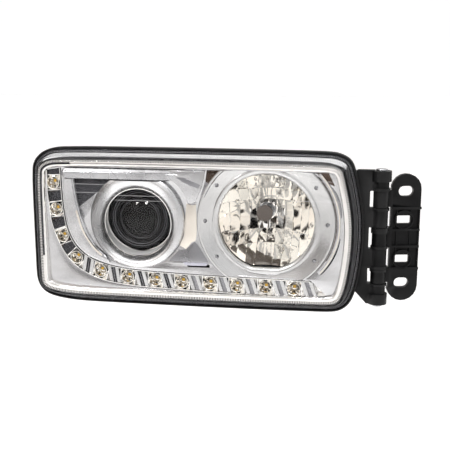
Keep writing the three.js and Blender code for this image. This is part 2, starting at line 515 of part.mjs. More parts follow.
// ---------------------------------------------------------------- day light
{
  let strip = prism(channel(0), 12, 34);
  strip = strip.subtract(prism(channel(-2), 30.6, 40));
  for (const [x, z, a] of LEDS) {
    const g = new THREE.CylinderGeometry(1, 0.42, 20, 4, 1);
    g.rotateY(Math.PI / 4);
    g.scale(17.2 * Math.SQRT2, 1, 9.4 * Math.SQRT2);
    g.rotateX(Math.PI);                          // wide end towards -Y
    g.rotateY((a * Math.PI) / 180 * -1);
    g.translate(x, 21.5, z);
    strip = strip.subtract(solid(g));
  }
  add('drl_reflector', strip, chrome);
  add('drl_circuit_board', prism(channel(-2.6), 32.6, 34.2), board);
  LEDS.forEach(([x, z, a], i) => {
    const g = new THREE.CylinderGeometry(0.78, 1, 3.2, 4, 1);
    g.rotateY(Math.PI / 4);
    g.scale(3.6 * Math.SQRT2, 1, 3.6 * Math.SQRT2);
    g.rotateX(0);
    const m = solid(g).rotate([180, 0, 0]).rotate([0, -a, 0]).translate([x, 30.6, z]);
    add(`led_${String(i + 1).padStart(2, '0')}`, m, emitter);
  });
}

// ---------------------------------------------------------------- beam carrier and its pivots
{
  const o = roundedRect(-20, -6, 352, 156, 14, 4);
  let frame = prism(o, 83.4, 87.4, [circle(LOW[0], LOW[1], 46.4, 48), circle(HIGH[0], HIGH[1], 46.4, 48)]);
  for (const [x, z, w, h] of [[-40, 10, 40, 50], [128, -34, 26, 60], [-178, 58, 20, 14]]) frame = frame.subtract(prism(roundedRect(x, z, w, h, 4, 2), 80, 90));
  // stiffening lip
  frame = frame.add(cut(prism(o, 87, 93), prism(roundedRect(-20, -6, 346, 150, 11, 4), 80, 100)));
  const [px, py, pz] = PIVOT;
  frame = frame.add(box(px - 12, px + 12, 87, 113, pz - 12, pz + 8));
  frame = frame.add(box(px - 12, px + 12, 87, 113, pz + 8, pz + 12));
  frame = frame.subtract(rodX(py, pz, 9.35, px - 30, px + 30, 32)).subtract(box(px - 7.5, px + 7.5, py, 130, pz - 7, pz + 7));
  for (const c of [LEVEL_BALL, AIM_BALL]) {
    frame = frame.add(box(c[0] - 10, c[0] + 10, 87, 109.6, c[2] - 10, c[2] + 10));
    frame = frame.subtract(ball(c, SOCKET_R)).subtract(rodY(c[0], c[2], 5.0, c[1], 130, 24));
  }
  add('aim_frame', frame, grey);

  let insert = rodX(py, pz, 9, px - 7, px + 7, 32);
  insert = insert.subtract(ball(PIVOT, SOCKET_R)).subtract(rodY(px, pz, 5, py, 130, 24));
  add('pivot_socket_insert', insert, white);

  const stud = join(ball(PIVOT, BALL_R), rodY(px, pz, 3.2, py, 172, 24), rodY(px, pz, 6.4, 152, 157.6, 6));
  add('pivot_ball_stud', stud, steel);

  // levelling motor with its push rod
  const [lx, , lz] = LEVEL_BALL;
  let motor = join(rodY(lx, lz, 22, BACK_Y + 0.4, 192, 40), rodY(lx, lz, 11.6, 150, BACK_Y + 2, 32), prism(roundedRect(lx + 12, lz, 44, 24, 3, 2), BACK_Y + 0.4, 184));
  motor = motor.subtract(rodY(lx, lz, 4.5, 140, 188, 24));
  add('levelling_motor', motor, blackPlastic);
  add('levelling_rod', join(ball(LEVEL_BALL, BALL_R), rodY(lx, lz, 3, 104, 122, 24), rodY(lx, lz, 4.1, 120, 178, 24)), white);

  // horizontal aim screw in its bushing
  const [ax, , az] = AIM_BALL;
  add('aim_screw_bushing', cut(join(rodY(ax, az, 9, 152, 172, 32), rodY(ax, az, 12.4, 170.4, 174, 6)), rodY(ax, az, 3.95, 140, 200, 24)), white);
  add('horizontal_aim_screw', join(ball(AIM_BALL, BALL_R), rodY(ax, az, 3, 104, 122, 24), rodY(ax, az, 3.6, 120, 186, 24), rodY(ax, az, 7, 184, 193, 6)), steel);
}

// ---------------------------------------------------------------- projector (low beam)
{
  const [cx, cz] = LOW;
  const dome = Array.from({ length: 8 }, (_, i) => { const r = (34.4 * i) / 7; return [r, 16 + 13.5 * (r / 34.4) ** 2]; });
  add('projector_lens', turned([...dome, [34.4, 34.8], [0, 34.8]], cx, cz, 40), darkGlass);
  add('projector_lens_holder', closedTurned([[35, 23], [39, 20.2], [44, 20.2], [46.4, 23], [46.4, 31], [43, 38], [43, 74], [47, 74], [47, 77], [39.6, 77], [39.6, 39], [31.4, 39], [31.4, 35.2], [35, 35.2]], cx, cz, 48), blackPlastic);
  let shade = prism([...Array.from({ length: 21 }, (_, i) => { const t = Math.PI + (Math.PI * i) / 20; return [cx + 46 * Math.cos(t), cz + 46 * Math.sin(t)]; }), [cx + 46, cz], [cx + 3, cz], [cx - 3, cz - 3.4], [cx - 46, cz - 3.4]].slice(1, -1), 77.4, 78.8);
  add('cutoff_shade', shade, steel);
  const shell = [[52, 79.2], [52, 83], [44, 83], [42.4, 98], [34, 119], [20, 134], [20, 140], [13, 140], [13, 134.6]];
  const insideProfile = [[29.6, 118], [39.4, 97], [41, 79.2]];
  add('projector_reflector', closedTurned([...shell, ...insideProfile], cx, cz, 48), chrome);
  add('low_beam_bulb_glass', turned([[0, 100], [4, 101.5], [6, 105], [6, 134.2], [0, 134.2]], cx, cz, 24), clear);
  add('low_beam_bulb_base', turned([[0, 134.6], [8, 134.6], [12.4, 136], [12.4, 140.4], [16, 140.4], [16, 142.2], [11, 142.2], [11, 152], [0, 152]], cx, cz, 24), steel);
  add('low_beam_bulb_retainer', closedTurned([[11.5, 142.6], [21, 142.6], [21, 144.4], [11.5, 144.4]], cx, cz, 24), steel);
}

// ---------------------------------------------------------------- high beam
{
  const [cx, cz] = HIGH;
  const [bx, bz] = HIGH_BULB;
  const F = 26;                                                // focal length of the bowl
  const yv = 100;                                              // vertex depth
  const rAt = (y) => Math.sqrt(4 * F * Math.max(0, yv - y)) * 0.876 + 1;
  const inner = [35.4, 43, 54, 70, 84, 93].map((y) => [rAt(y), y]);
  const out = inner.map(([r, y]) => [r + 2.4, y + 1.2]);
  out[0] = [inner[0][0] + 2.4, 35.4];
  const body = turned([[0, 35.4], ...out, [22, 97.4], [0, 97.4]], cx, cz, 48).add(rodY(cx, cz, 52, 80, 83, 48)).add(rodY(bx, bz, 22, 90, 104, 40)).intersect(box(-200, 300, 0, 130, -72.4, 200));
  const cavity = turned([[0, 20], [inner[0][0], 20], ...inner, [12.6, 97.2], [0, 97.2]], cx, cz, 48).intersect(box(-200, 300, 0, 130, -69.6, 200)).add(rodY(bx, bz, 12.6, 90, 120, 32));
  add('high_beam_reflector', body.subtract(cavity), chrome);
  add('high_beam_bulb_glass', turned([[0, 62], [4, 63.5], [6, 67], [6, 97.2], [0, 97.2]], bx, bz, 24), clear);
  add('high_beam_bulb_base', turned([[0, 97.6], [9, 97.6], [12, 99], [12, 104.4], [16, 104.4], [16, 106.2], [11, 106.2], [11, 118], [0, 118]], bx, bz, 24), steel);
  add('high_beam_bulb_retainer', closedTurned([[11.5, 106.6], [23, 106.6], [23, 108.4], [11.5, 108.4]], bx, bz, 24), steel);
  // glare cap in front of the bulb, on its two legs
  let cap = turned([[0, 57.6], [8.8, 58], [11.8, 60.4], [11.8, 66], [10.8, 66], [10.8, 61.4], [8.4, 59.4], [0, 59.2]], bx, bz, 24);
  for (const s of [1, -1]) cap = cap.add(box(bx - 1.2, bx + 1.2, 63, 89, bz + s * 11.3 - 0.5, bz + s * 11.3 + 0.5));
  cap = cap.add(cut(rodY(bx, bz, 12.2, 88, 89.2, 24), rodY(bx, bz, 8, 80, 95, 24)));
  add('glare_cap', cap, grey);
}

// ---------------------------------------------------------------- rear covers
for (const [name, [cx, cz]] of [['low_beam', LOW], ['high_beam', HIGH]]) {
  add(`${name}_cover_seal`, closedTurned([[PORT_BORE + 0.4, PORT_Y + 0.4], [PORT_R - 0.2, PORT_Y + 0.4], [PORT_R - 0.2, PORT_Y + 3], [PORT_BORE + 0.4, PORT_Y + 3]], cx, cz, 48), rubber);
  let cap = turned([[0, PORT_Y + 3.4], [PORT_R + 0.6, PORT_Y + 3.4], [PORT_R + 0.6, 169.4], [PORT_R + 4, 169.4], [PORT_R + 4, PORT_Y + 5], [PORT_R + 2, PORT_Y + 7], [0, PORT_Y + 7]], cx, cz, 48);
  cap = cap.add(box(cx - 36, cx + 36, PORT_Y + 6, PORT_Y + 18, cz - 5, cz + 5));
  for (let k = 0; k < 12; k++) {
    const g = new THREE.BoxGeometry(4, 12, 6);
    g.translate(PORT_R + 4, 175.6, 0);
    g.rotateY((k / 12) * 2 * Math.PI);
    g.translate(cx, 0, cz);
    cap = cap.add(solid(g));
  }
  add(`${name}_cover`, cap, blackPlastic);
}

// ---------------------------------------------------------------- plug socket, driver and vent
{
  let sock = join(prism(roundedRect(-40, 2, 52, 38, 4, 3), BACK_Y + 0.4, BACK_Y + 3.4), prism(roundedRect(-40, 2, 40, 28, 3, 3), BACK_Y + 0.4, 190));
  sock = sock.subtract(prism(roundedRect(-40, 2, 35, 23, 2, 3), 172, 200));
  sock = sock.add(box(-44, -36, 178, 188, 15.5, 19));
  add('connector_socket', sock, blackPlastic);
  let pins = prism(roundedRect(-40, 2, 31, 19, 1.6, 2), 172.4, 173.8);
  for (const x of [-50.5, -43.5, -36.5, -29.5]) for (const z of [-2.6, 6.6]) pins = pins.add(box(x - 0.9, x + 0.9, 173, 182, z - 0.9, z + 0.9));
  add('connector_pins', pins, brassPin);

  let drv = prism(roundedRect(-216, -78, 50, 28, 3, 2), BACK_Y + 0.4, BACK_Y + 10);
  for (let k = 0; k < 6; k++) drv = drv.add(box(-237 + k * 8, -234 + k * 8, BACK_Y + 9, BACK_Y + 16, -90, -66));
  add('drl_driver', drv, steel);
  add('breather_vent', join(rodY(140, -78, 5, 158, BACK_Y + 1, 24), rodY(140, -78, 9.5, BACK_Y + 0.4, BACK_Y + 7, 24)), rubber);
}

// ---------------------------------------------------------------- into the row frame
const a = (LEAF_ANGLE * Math.PI) / 180;
const FACE_S = 36, FACE_Z = -21.5;
const ORIGIN = [HINGE[0] + FACE_S * Math.cos(a) - LEAF_N1 * Math.sin(a), HINGE[1] + FACE_S * Math.sin(a) + LEAF_N1 * Math.cos(a), FACE_Z];
lamp.position.set(-ORIGIN[0], -ORIGIN[1], -ORIGIN[2]);
const root = new THREE.Group();
root.add(lamp);
root.updateMatrixWorld(true);
export default root;
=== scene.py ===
import json
import math
import bpy
import bmesh
from mathutils import Matrix, Vector


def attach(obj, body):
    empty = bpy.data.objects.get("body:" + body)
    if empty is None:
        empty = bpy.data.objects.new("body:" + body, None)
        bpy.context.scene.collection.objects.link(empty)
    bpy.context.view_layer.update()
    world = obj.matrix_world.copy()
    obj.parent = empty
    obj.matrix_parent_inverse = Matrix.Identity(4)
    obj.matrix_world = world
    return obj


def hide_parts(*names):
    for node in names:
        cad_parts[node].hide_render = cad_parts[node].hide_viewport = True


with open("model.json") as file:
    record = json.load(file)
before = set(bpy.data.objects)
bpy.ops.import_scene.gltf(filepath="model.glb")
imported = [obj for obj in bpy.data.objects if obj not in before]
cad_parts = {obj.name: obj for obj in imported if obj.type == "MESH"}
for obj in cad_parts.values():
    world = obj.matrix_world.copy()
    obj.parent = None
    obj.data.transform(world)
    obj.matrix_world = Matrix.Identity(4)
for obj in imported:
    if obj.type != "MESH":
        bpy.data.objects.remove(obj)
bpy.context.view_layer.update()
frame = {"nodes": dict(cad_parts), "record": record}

# ------------------------------------------------------------------ shared dimensions (mm, lamp frame: x right, y into the lamp, z up)
HINGE = (221.0, 52.0)
LEAF = math.radians(13)
LEAF_N1 = 12.0
ORG = (HINGE[0] + 36 * math.cos(LEAF) - LEAF_N1 * math.sin(LEAF),
       HINGE[1] + 36 * math.sin(LEAF) + LEAF_N1 * math.cos(LEAF), -21.5)
CENTRE = (-58.0, -14.0)
LOW = (-136.0, 0.0)
HIGH = (57.0, 2.0)
BULB = (50.0, 8.0)
BACK_Y = 166.0
PORT_Y = 178.0
RIM = [
    (-307.3, -101), (-308, -60), (-308, 0), (-307.6, 50), (-306.6, 68.4), (-305.6, 77.2), (-301.4, 86.3),
    (-294.6, 93.9), (-285, 100.1), (-271, 104.6), (-240, 106.4), (-120, 107.2), (20, 107), (110, 106.4),
    (145, 105.6), (158, 104.2), (167.5, 100.9), (173.9, 97.2), (178.6, 92.6), (182.4, 85.2), (189.6, 58),
    (195.4, 28), (198.2, 0), (198, -30), (194.8, -65), (190.2, -92), (186.6, -104), (182.9, -113),
    (177.2, -121), (170, -126.6), (163, -129.6), (152, -131.4), (109, -132.6), (47, -133.8), (-60, -134.8),
    (-160, -135.2), (-232, -135), (-258, -133.2), (-276, -130.4), (-289, -126.4), (-298, -120.4), (-304, -112)]
DRL_OUTER = [
    (-277.6, 72), (-278, 44), (-276, 19), (-273, -7), (-266.5, -28), (-257, -49), (-247, -64), (-234, -76.5),
    (-220, -85), (-204, -92), (-187, -97), (-161, -101), (-130, -103.4), (-67, -105.4), (14, -107), (79, -107.2),
    (152, -107.2)]
DRL_INNER = [
    (-255, 75.6), (-254, 36), (-252, 11), (-248, -14), (-240, -34), (-229, -49), (-213, -60.5), (-193, -68.5),
    (-169, -74), (-134, -77.5), (-101, -79), (-57, -80.2), (13, -81.2), (88, -81.8), (124, -82)]
LEDS = [
    (-269.5, 54, -87), (-265.5, 12, -84), (-257, -29, -68), (-235, -62.5, -44), (-196.5, -81.5, -14),
    (-154, -88.5, -6), (-111, -91.2, -2), (-69, -92.6, -1), (-27, -93.4, -1), (16, -94.2, 0), (58, -94.8, 0),
    (100, -95.2, 0)]


def P(x, y, z):
    return Vector(((x - ORG[0]) / 1000, (y - ORG[1]) / 1000, (z - ORG[2]) / 1000))


def hash01(*k):
    v = math.sin(sum((a + 1.37) * b for a, b in zip(k, (12.9898, 78.233, 37.719, 9.131)))) * 43758.5453
    return v - math.floor(v)


# ------------------------------------------------------------------ materials
def new_mat(name):
    m = bpy.data.materials.new(name)
    m.use_nodes = True
    nt = m.node_tree
    for n in list(nt.nodes):
        nt.nodes.remove(n)
    out = nt.nodes.new("ShaderNodeOutputMaterial")
    return m, nt, out


def surface(name, base, rough, metal=0.0, vary=0.12, scale=60.0, rough_vary=0.08, bump=0.0, bump_scale=900.0,
            bump_dist=0.0002, coat=0.0, spec=0.5, stretch=None, edge=0.0, ior=1.45, wave=None, sheen=0.0):
    """Moulded, metallised or plated surface: colour and gloss drift a little, with a fine bump; edge paints a highlight
    along convex edges.
    """
    m, nt, out = new_mat(name)
    N, L = nt.nodes, nt.links
    b = N.new("ShaderNodeBsdfPrincipled")
    L.new(b.outputs[0], out.inputs[0])
    b.inputs["Metallic"].default_value = metal
    b.inputs["Specular IOR Level"].default_value = spec
    b.inputs["Coat Weight"].default_value = coat
    b.inputs["Coat Roughness"].default_value = 0.08
    b.inputs["IOR"].default_value = ior
    tc = N.new("ShaderNodeTexCoord")
    mp = N.new("ShaderNodeMapping")
    L.new(tc.outputs["Object"], mp.inputs[0])
    if stretch:
        mp.inputs["Scale"].default_value = stretch
    n1 = N.new("ShaderNodeTexNoise")
    n1.inputs["Scale"].default_value = scale
    n1.inputs["Detail"].default_value = 4
    L.new(mp.outputs[0], n1.inputs[0])
    ramp = N.new("ShaderNodeValToRGB")
    lo = [max(0.0, c * (1 - vary)) for c in base]
    hi = [min(1.0, c * (1 + vary)) for c in base]
    ramp.color_ramp.elements[0].color = (*lo, 1)
    ramp.color_ramp.elements[1].color = (*hi, 1)
    ramp.color_ramp.elements[0].position = 0.3
    ramp.color_ramp.elements[1].position = 0.7
    L.new(n1.outputs[0], ramp.inputs[0])
    colour = ramp.outputs[0]
    # painted highlight: convex edges, found by pointiness, drawn lighter than the base colour
    if edge > 0:
        geo = N.new("ShaderNodeNewGeometry")
        edge_highlight_ramp = N.new("ShaderNodeValToRGB")
        edge_highlight_ramp.color_ramp.elements[0].position = 0.52
        edge_highlight_ramp.color_ramp.elements[1].position = 0.62
        edge_highlight_ramp.color_ramp.elements[0].color = (0, 0, 0, 1)
        edge_highlight_ramp.color_ramp.elements[1].color = (edge, edge, edge, 1)
        L.new(geo.outputs["Pointiness"], edge_highlight_ramp.inputs[0])
        edge_highlight_mix = N.new("ShaderNodeMix")
        edge_highlight_mix.data_type = "RGBA"
        L.new(edge_highlight_ramp.outputs[0], edge_highlight_mix.inputs["Factor"])
        L.new(colour, edge_highlight_mix.inputs["A"])
        edge_highlight_mix.inputs["B"].default_value = (min(1, base[0] * 2.2 + 0.05), min(1, base[1] * 2.2 + 0.05), min(1, base[2] * 2.2 + 0.05), 1)
        colour = edge_highlight_mix.outputs["Result"]
    L.new(colour, b.inputs["Base Color"])
    mr = N.new("ShaderNodeMapRange")
    mr.inputs["To Min"].default_value = max(0.0, rough - rough_vary)
    mr.inputs["To Max"].default_value = min(1.0, rough + rough_vary)
    n2 = N.new("ShaderNodeTexNoise")
    n2.inputs["Scale"].default_value = scale * 2.3
    n2.inputs["Detail"].default_value = 3
    L.new(mp.outputs[0], n2.inputs[0])
    L.new(n2.outputs[0], mr.inputs["Value"])
    L.new(mr.outputs[0], b.inputs["Roughness"])
    if bump > 0:
        n3 = N.new("ShaderNodeTexNoise")
        n3.inputs["Scale"].default_value = bump_scale
        n3.inputs["Detail"].default_value = 2
        L.new(mp.outputs[0], n3.inputs[0])
        bp = N.new("ShaderNodeBump")
        bp.inputs["Strength"].default_value = bump
        bp.inputs["Distance"].default_value = bump_dist
        L.new(n3.outputs[0], bp.inputs["Height"])
        L.new(bp.outputs[0], b.inputs["Normal"])
    return m


def clear_shell(name, tint=(1, 1, 1), gloss=0.75, face=0.035, rough=0.02, haze=0.0):
    """Thin clear plastic: see-through face on, mirrors more at a glancing angle."""
    m, nt, out = new_mat(name)
    N, L = nt.nodes, nt.links
    tr = N.new("ShaderNodeBsdfTransparent")
    tr.inputs[0].default_value = (*tint, 1)
    pr = N.new("ShaderNodeBsdfPrincipled")
    pr.inputs["Base Color"].default_value = (0.95, 0.95, 0.97, 1)
    pr.inputs["Metallic"].default_value = 1.0
    pr.inputs["Roughness"].default_value = rough
    lw = N.new("ShaderNodeLayerWeight")
    lw.inputs["Blend"].default_value = 0.28
    tc = N.new("ShaderNodeTexCoord")
    ns = N.new("ShaderNodeTexNoise")
    ns.inputs["Scale"].default_value = 8
    L.new(tc.outputs["Object"], ns.inputs[0])
    mr = N.new("ShaderNodeMapRange")
    mr.inputs["From Max"].default_value = 1.0
    mr.inputs["To Min"].default_value = face
    mr.inputs["To Max"].default_value = gloss
    L.new(lw.outputs["Fresnel"], mr.inputs["Value"])
    mul = N.new("ShaderNodeMath")
    mul.operation = "MULTIPLY_ADD"
    mul.inputs[1].default_value = 0.004
    L.new(ns.outputs[0], mul.inputs[0])
    L.new(mr.outputs[0], mul.inputs[2])
    mix = N.new("ShaderNodeMixShader")
    L.new(mul.outputs[0], mix.inputs[0])
    L.new(tr.outputs[0], mix.inputs[1])
    L.new(pr.outputs[0], mix.inputs[2])
    if haze > 0:
        df = N.new("ShaderNodeBsdfPrincipled")
        df.inputs["Base Color"].default_value = (0.86, 0.86, 0.88, 1)
        df.inputs["Roughness"].default_value = 0.15
        mx2 = N.new("ShaderNodeMixShader")
        mr2 = N.new("ShaderNodeMapRange")
        mr2.inputs["To Min"].default_value = haze * 0.9
        mr2.inputs["To Max"].default_value = min(1, haze * 1.1)
        L.new(ns.outputs[0], mr2.inputs["Value"])
        L.new(mr2.outputs[0], mx2.inputs[0])
        L.new(mix.outputs[0], mx2.inputs[1])
        L.new(df.outputs[0], mx2.inputs[2])
        L.new(mx2.outputs[0], out.inputs[0])
    else:
        L.new(mix.outputs[0], out.inputs[0])
    return m


# edge= lays a painted highlight along the convex edges of these black plastics
M_BLACK = surface("black_moulded", (0.0045, 0.0045, 0.005), 0.40, vary=0.3, scale=45, bump=0.25, bump_scale=1400, edge=0.25, spec=0.22)
M_SATIN = surface("satin_black", (0.0040, 0.0040, 0.0043), 0.32, vary=0.35, scale=60, bump=0.3, bump_scale=1100, edge=0.3, spec=0.17)
M_BEZEL = surface("bezel_silver", (0.62, 0.62, 0.63), 0.20, metal=1.0, vary=0.10, scale=14, rough_vary=0.05, bump=0.05, bump_scale=40, bump_dist=0.001, stretch=(1, 1, 2.5))
M_FRAME = surface("bezel_frame_silver", (0.84, 0.82, 0.80), 0.16, metal=1.0, vary=0.05, scale=20, rough_vary=0.05, bump=0.06, bump_scale=60, bump_dist=0.0008)
M_SATSIL = surface("satin_silver", (0.64, 0.64, 0.65), 0.27, metal=1.0, vary=0.20, scale=22, rough_vary=0.06, bump=0.05, bump_scale=500)
M_RING = surface("ring_silver", (0.59, 0.59, 0.60), 0.27, metal=1.0, vary=0.20, scale=14, rough_vary=0.05, bump=0.03, bump_scale=300)
M_CONE = surface("cone_silver", (0.60, 0.60, 0.60), 0.24, metal=1.0, vary=0.15, scale=10, rough_vary=0.05, bump=0.04, bump_scale=60, bump_dist=0.0008)
M_CHROME = surface("bright_chrome", (0.93, 0.92, 0.90), 0.06, metal=1.0, vary=0.02, scale=18, rough_vary=0.02, bump=0.05, bump_scale=30, bump_dist=0.001)
M_BOWL = surface("bowl_mirror", (0.96, 0.935, 0.885), 0.045, metal=1.0, vary=0.015, scale=25, rough_vary=0.02, bump=0.10, bump_scale=70, bump_dist=0.0008)
M_BAR = surface("bar_silver", (0.44, 0.44, 0.45), 0.27, metal=1.0, vary=0.22, scale=24, rough_vary=0.06, bump=0.05, bump_scale=500)
M_PRING_PAINTED_SHADE = surface("projector_ring_painted_shade", (0.86, 0.86, 0.87), 0.27, metal=1.0, vary=0.10, scale=14, rough_vary=0.05, bump=0.03, bump_scale=300)


def paint_shade_along_x(m, stops):
    """Painted shade on metal: a tone drawn along x over the base colour, darker towards its sides."""
    nt = m.node_tree
    b = next(n for n in nt.nodes if n.type == "BSDF_PRINCIPLED")
    src = b.inputs["Base Color"].links[0].from_socket
    tc = nt.nodes.new("ShaderNodeTexCoord")
    sp = nt.nodes.new("ShaderNodeSeparateXYZ")
    nt.links.new(tc.outputs["Object"], sp.inputs[0])
    mr = nt.nodes.new("ShaderNodeMapRange")
    mr.inputs["From Min"].default_value = stops[0][0]
    mr.inputs["From Max"].default_value = stops[-1][0]
    nt.links.new(sp.outputs["X"], mr.inputs["Value"])
    rp = nt.nodes.new("ShaderNodeValToRGB")
    rp.color_ramp.interpolation = "EASE"
    lo, hi = stops[0][0], stops[-1][0]
    rp.color_ramp.elements[0].color = (*[stops[0][1]] * 3, 1)
    rp.color_ramp.elements[1].color = (*[stops[-1][1]] * 3, 1)
    for x, v in stops[1:-1]:
        e = rp.color_ramp.elements.new((x - lo) / (hi - lo))
        e.color = (v, v, v, 1)
    nt.links.new(mr.outputs[0], rp.inputs[0])
    mx = nt.nodes.new("ShaderNodeMix")
    mx.data_type = "RGBA"
    mx.blend_type = "MULTIPLY"
    mx.inputs["Factor"].default_value = 1.0
    nt.links.new(src, mx.inputs["A"])
    nt.links.new(rp.outputs[0], mx.inputs["B"])
    nt.links.new(mx.outputs["Result"], b.inputs["Base Color"])


# painted shade across the projector ring: dark at its left edge, brightest in the middle, dimmer at the right
paint_shade_along_x(M_PRING_PAINTED_SHADE, [(-0.464, 0.34), (-0.444, 0.38), (-0.420, 0.92), (-0.355, 0.98), (-0.335, 0.66), (-0.316, 0.60)])
M_SHOULDER = surface("pale_shoulder", (0.93, 0.93, 0.93), 0.55, metal=0.0, vary=0.07, scale=210, rough_vary=0.08, bump=0.1, bump_scale=400)
M_TUBE = surface("tube_silver", (0.93, 0.92, 0.91), 0.44, metal=0.6, vary=0.12, scale=18, rough_vary=0.05, bump=0.06, bump_scale=60, bump_dist=0.0008)
# cream copy of the mirror finish: painted cream reflection
M_PAINTED_CREAM = surface("mirror_painted_cream_reflection", (0.77, 0.72, 0.65), 0.30, metal=0.85, vary=0.05, scale=22, rough_vary=0.06, bump=0.05, bump_scale=60, bump_dist=0.0008)
# grey copy of the mirror finish: painted grey reflection
M_PAINTED_GREY = surface("mirror_painted_grey_reflection", (0.30, 0.30, 0.315), 0.28, metal=0.9, vary=0.14, scale=26, rough_vary=0.06, bump=0.08, bump_scale=80)
# near-black copy of the mirror finish: painted shade and painted dark reflection
M_PAINTED_DARK = surface("mirror_painted_shade_and_dark_reflection", (0.040, 0.040, 0.045), 0.18, metal=0.7, vary=0.35, scale=34, rough_vary=0.06, bump=0.10, bump_scale=120)
# brown copy of the mirror finish: painted brown reflection
M_PAINTED_BROWN = surface("mirror_painted_brown_reflection", (0.075, 0.052, 0.040), 0.22, metal=0.7, vary=0.6, scale=90, rough_vary=0.08, bump=0.2, bump_scale=160)
# lilac copy of the mirror finish: painted lilac reflection
M_PAINTED_LILAC = surface("mirror_painted_lilac_reflection", (0.50, 0.50, 0.57), 0.25, metal=0.8, vary=0.08, scale=40, rough_vary=0.05, bump=0.05)
M_LENS = clear_shell("clear_lens", gloss=0.09, face=0.001)
# clear flutes and lens lines drawn bright: painted highlight
M_FLUTE_HIGHLIGHT = surface("flutes_painted_highlight", (0.86, 0.86, 0.87), 0.22, metal=0.75, vary=0.06, scale=160, rough_vary=0.08, bump=0.1, bump_scale=600)
# clear flutes drawn dark: painted shade
M_FLUTE_SHADE = surface("flutes_painted_shade", (0.20, 0.20, 0.21), 0.30, metal=0.6, vary=0.2, scale=160, rough_vary=0.08, bump=0.1, bump_scale=600)
M_WALLFLUTE = clear_shell("wall_flutes", gloss=0.85, face=0.06, rough=0.10, haze=0.05)
M_BULB = clear_shell("bulb_glass", gloss=0.8, face=0.06)
M_CHIP = surface("phosphor", (0.66, 0.38, 0.03), 0.35, vary=0.22, scale=400, bump=0.2, bump_scale=1500)
M_CHIPBASE = surface("chip_base", (0.30, 0.26, 0.19), 0.4, vary=0.12, scale=300, bump=0.1)
M_BOARD = surface("board_green", (0.02, 0.10, 0.04), 0.4, vary=0.3, scale=120, bump=0.15, bump_scale=600)
M_CAP = surface("cap_brown_grey", (0.100, 0.084, 0.074), 0.55, vary=0.06, scale=150, bump=0.1, bump_scale=1500, spec=0.3)
M_STEEL = surface("plated_steel", (0.62, 0.63, 0.65), 0.28, metal=1.0, vary=0.08, scale=80, bump=0.15, bump_scale=700, stretch=(1, 1, 6))
M_CAST = surface("cast_aluminium", (0.5, 0.51, 0.52), 0.45, metal=0.9, vary=0.1, scale=90, bump=0.3, bump_scale=500)
M_BRASS = surface("plated_pins", (0.78, 0.6, 0.28), 0.22, metal=1.0, vary=0.08, scale=200, bump=0.1)
M_RUBBER = surface("black_rubber", (0.010, 0.010, 0.010), 0.75, vary=0.3, scale=120, bump=0.3, bump_scale=900, spec=0.3)
M_NYLON = surface("white_nylon", (0.72, 0.72, 0.69), 0.42, vary=0.06, scale=90, bump=0.1, bump_scale=700)
M_GREY = surface("grey_moulded", (0.10, 0.10, 0.11), 0.5, vary=0.15, scale=70, bump=0.2)
M_INNER = surface("projector_black", (0.003, 0.003, 0.0035), 0.30, vary=0.3, scale=60, bump=0.05, spec=0.15)


def glass(name, tint, rough=0.0, ior=1.31):
    m, nt, out = new_mat(name)
    N, L = nt.nodes, nt.links
    b = N.new("ShaderNodeBsdfPrincipled")
    b.inputs["Transmission Weight"].default_value = 1.0
    b.inputs["IOR"].default_value = ior
    tc = N.new("ShaderNodeTexCoord")
    ns = N.new("ShaderNodeTexNoise")
    ns.inputs["Scale"].default_value = 30
    L.new(tc.outputs["Object"], ns.inputs[0])
    rp = N.new("ShaderNodeValToRGB")
    rp.color_ramp.elements[0].color = (*[c * 0.96 for c in tint], 1)
    rp.color_ramp.elements[1].color = (*tint, 1)
    L.new(ns.outputs[0], rp.inputs[0])
    L.new(rp.outputs[0], b.inputs["Base Color"])
    mr = N.new("ShaderNodeMapRange")
    mr.inputs["To Min"].default_value = rough
    mr.inputs["To Max"].default_value = rough + 0.01
    L.new(ns.outputs[0], mr.inputs["Value"])
    L.new(mr.outputs[0], b.inputs["Roughness"])
    L.new(b.outputs[0], out.inputs[0])
    return m


# glass tinted dark: painted shade of the projector's interior
M_PGLASS_SHADE_TINT = glass("projector_glass", (0.16, 0.155, 0.15), 0.0)

# ------------------------------------------------------------------ mesh tools
PIECES = []


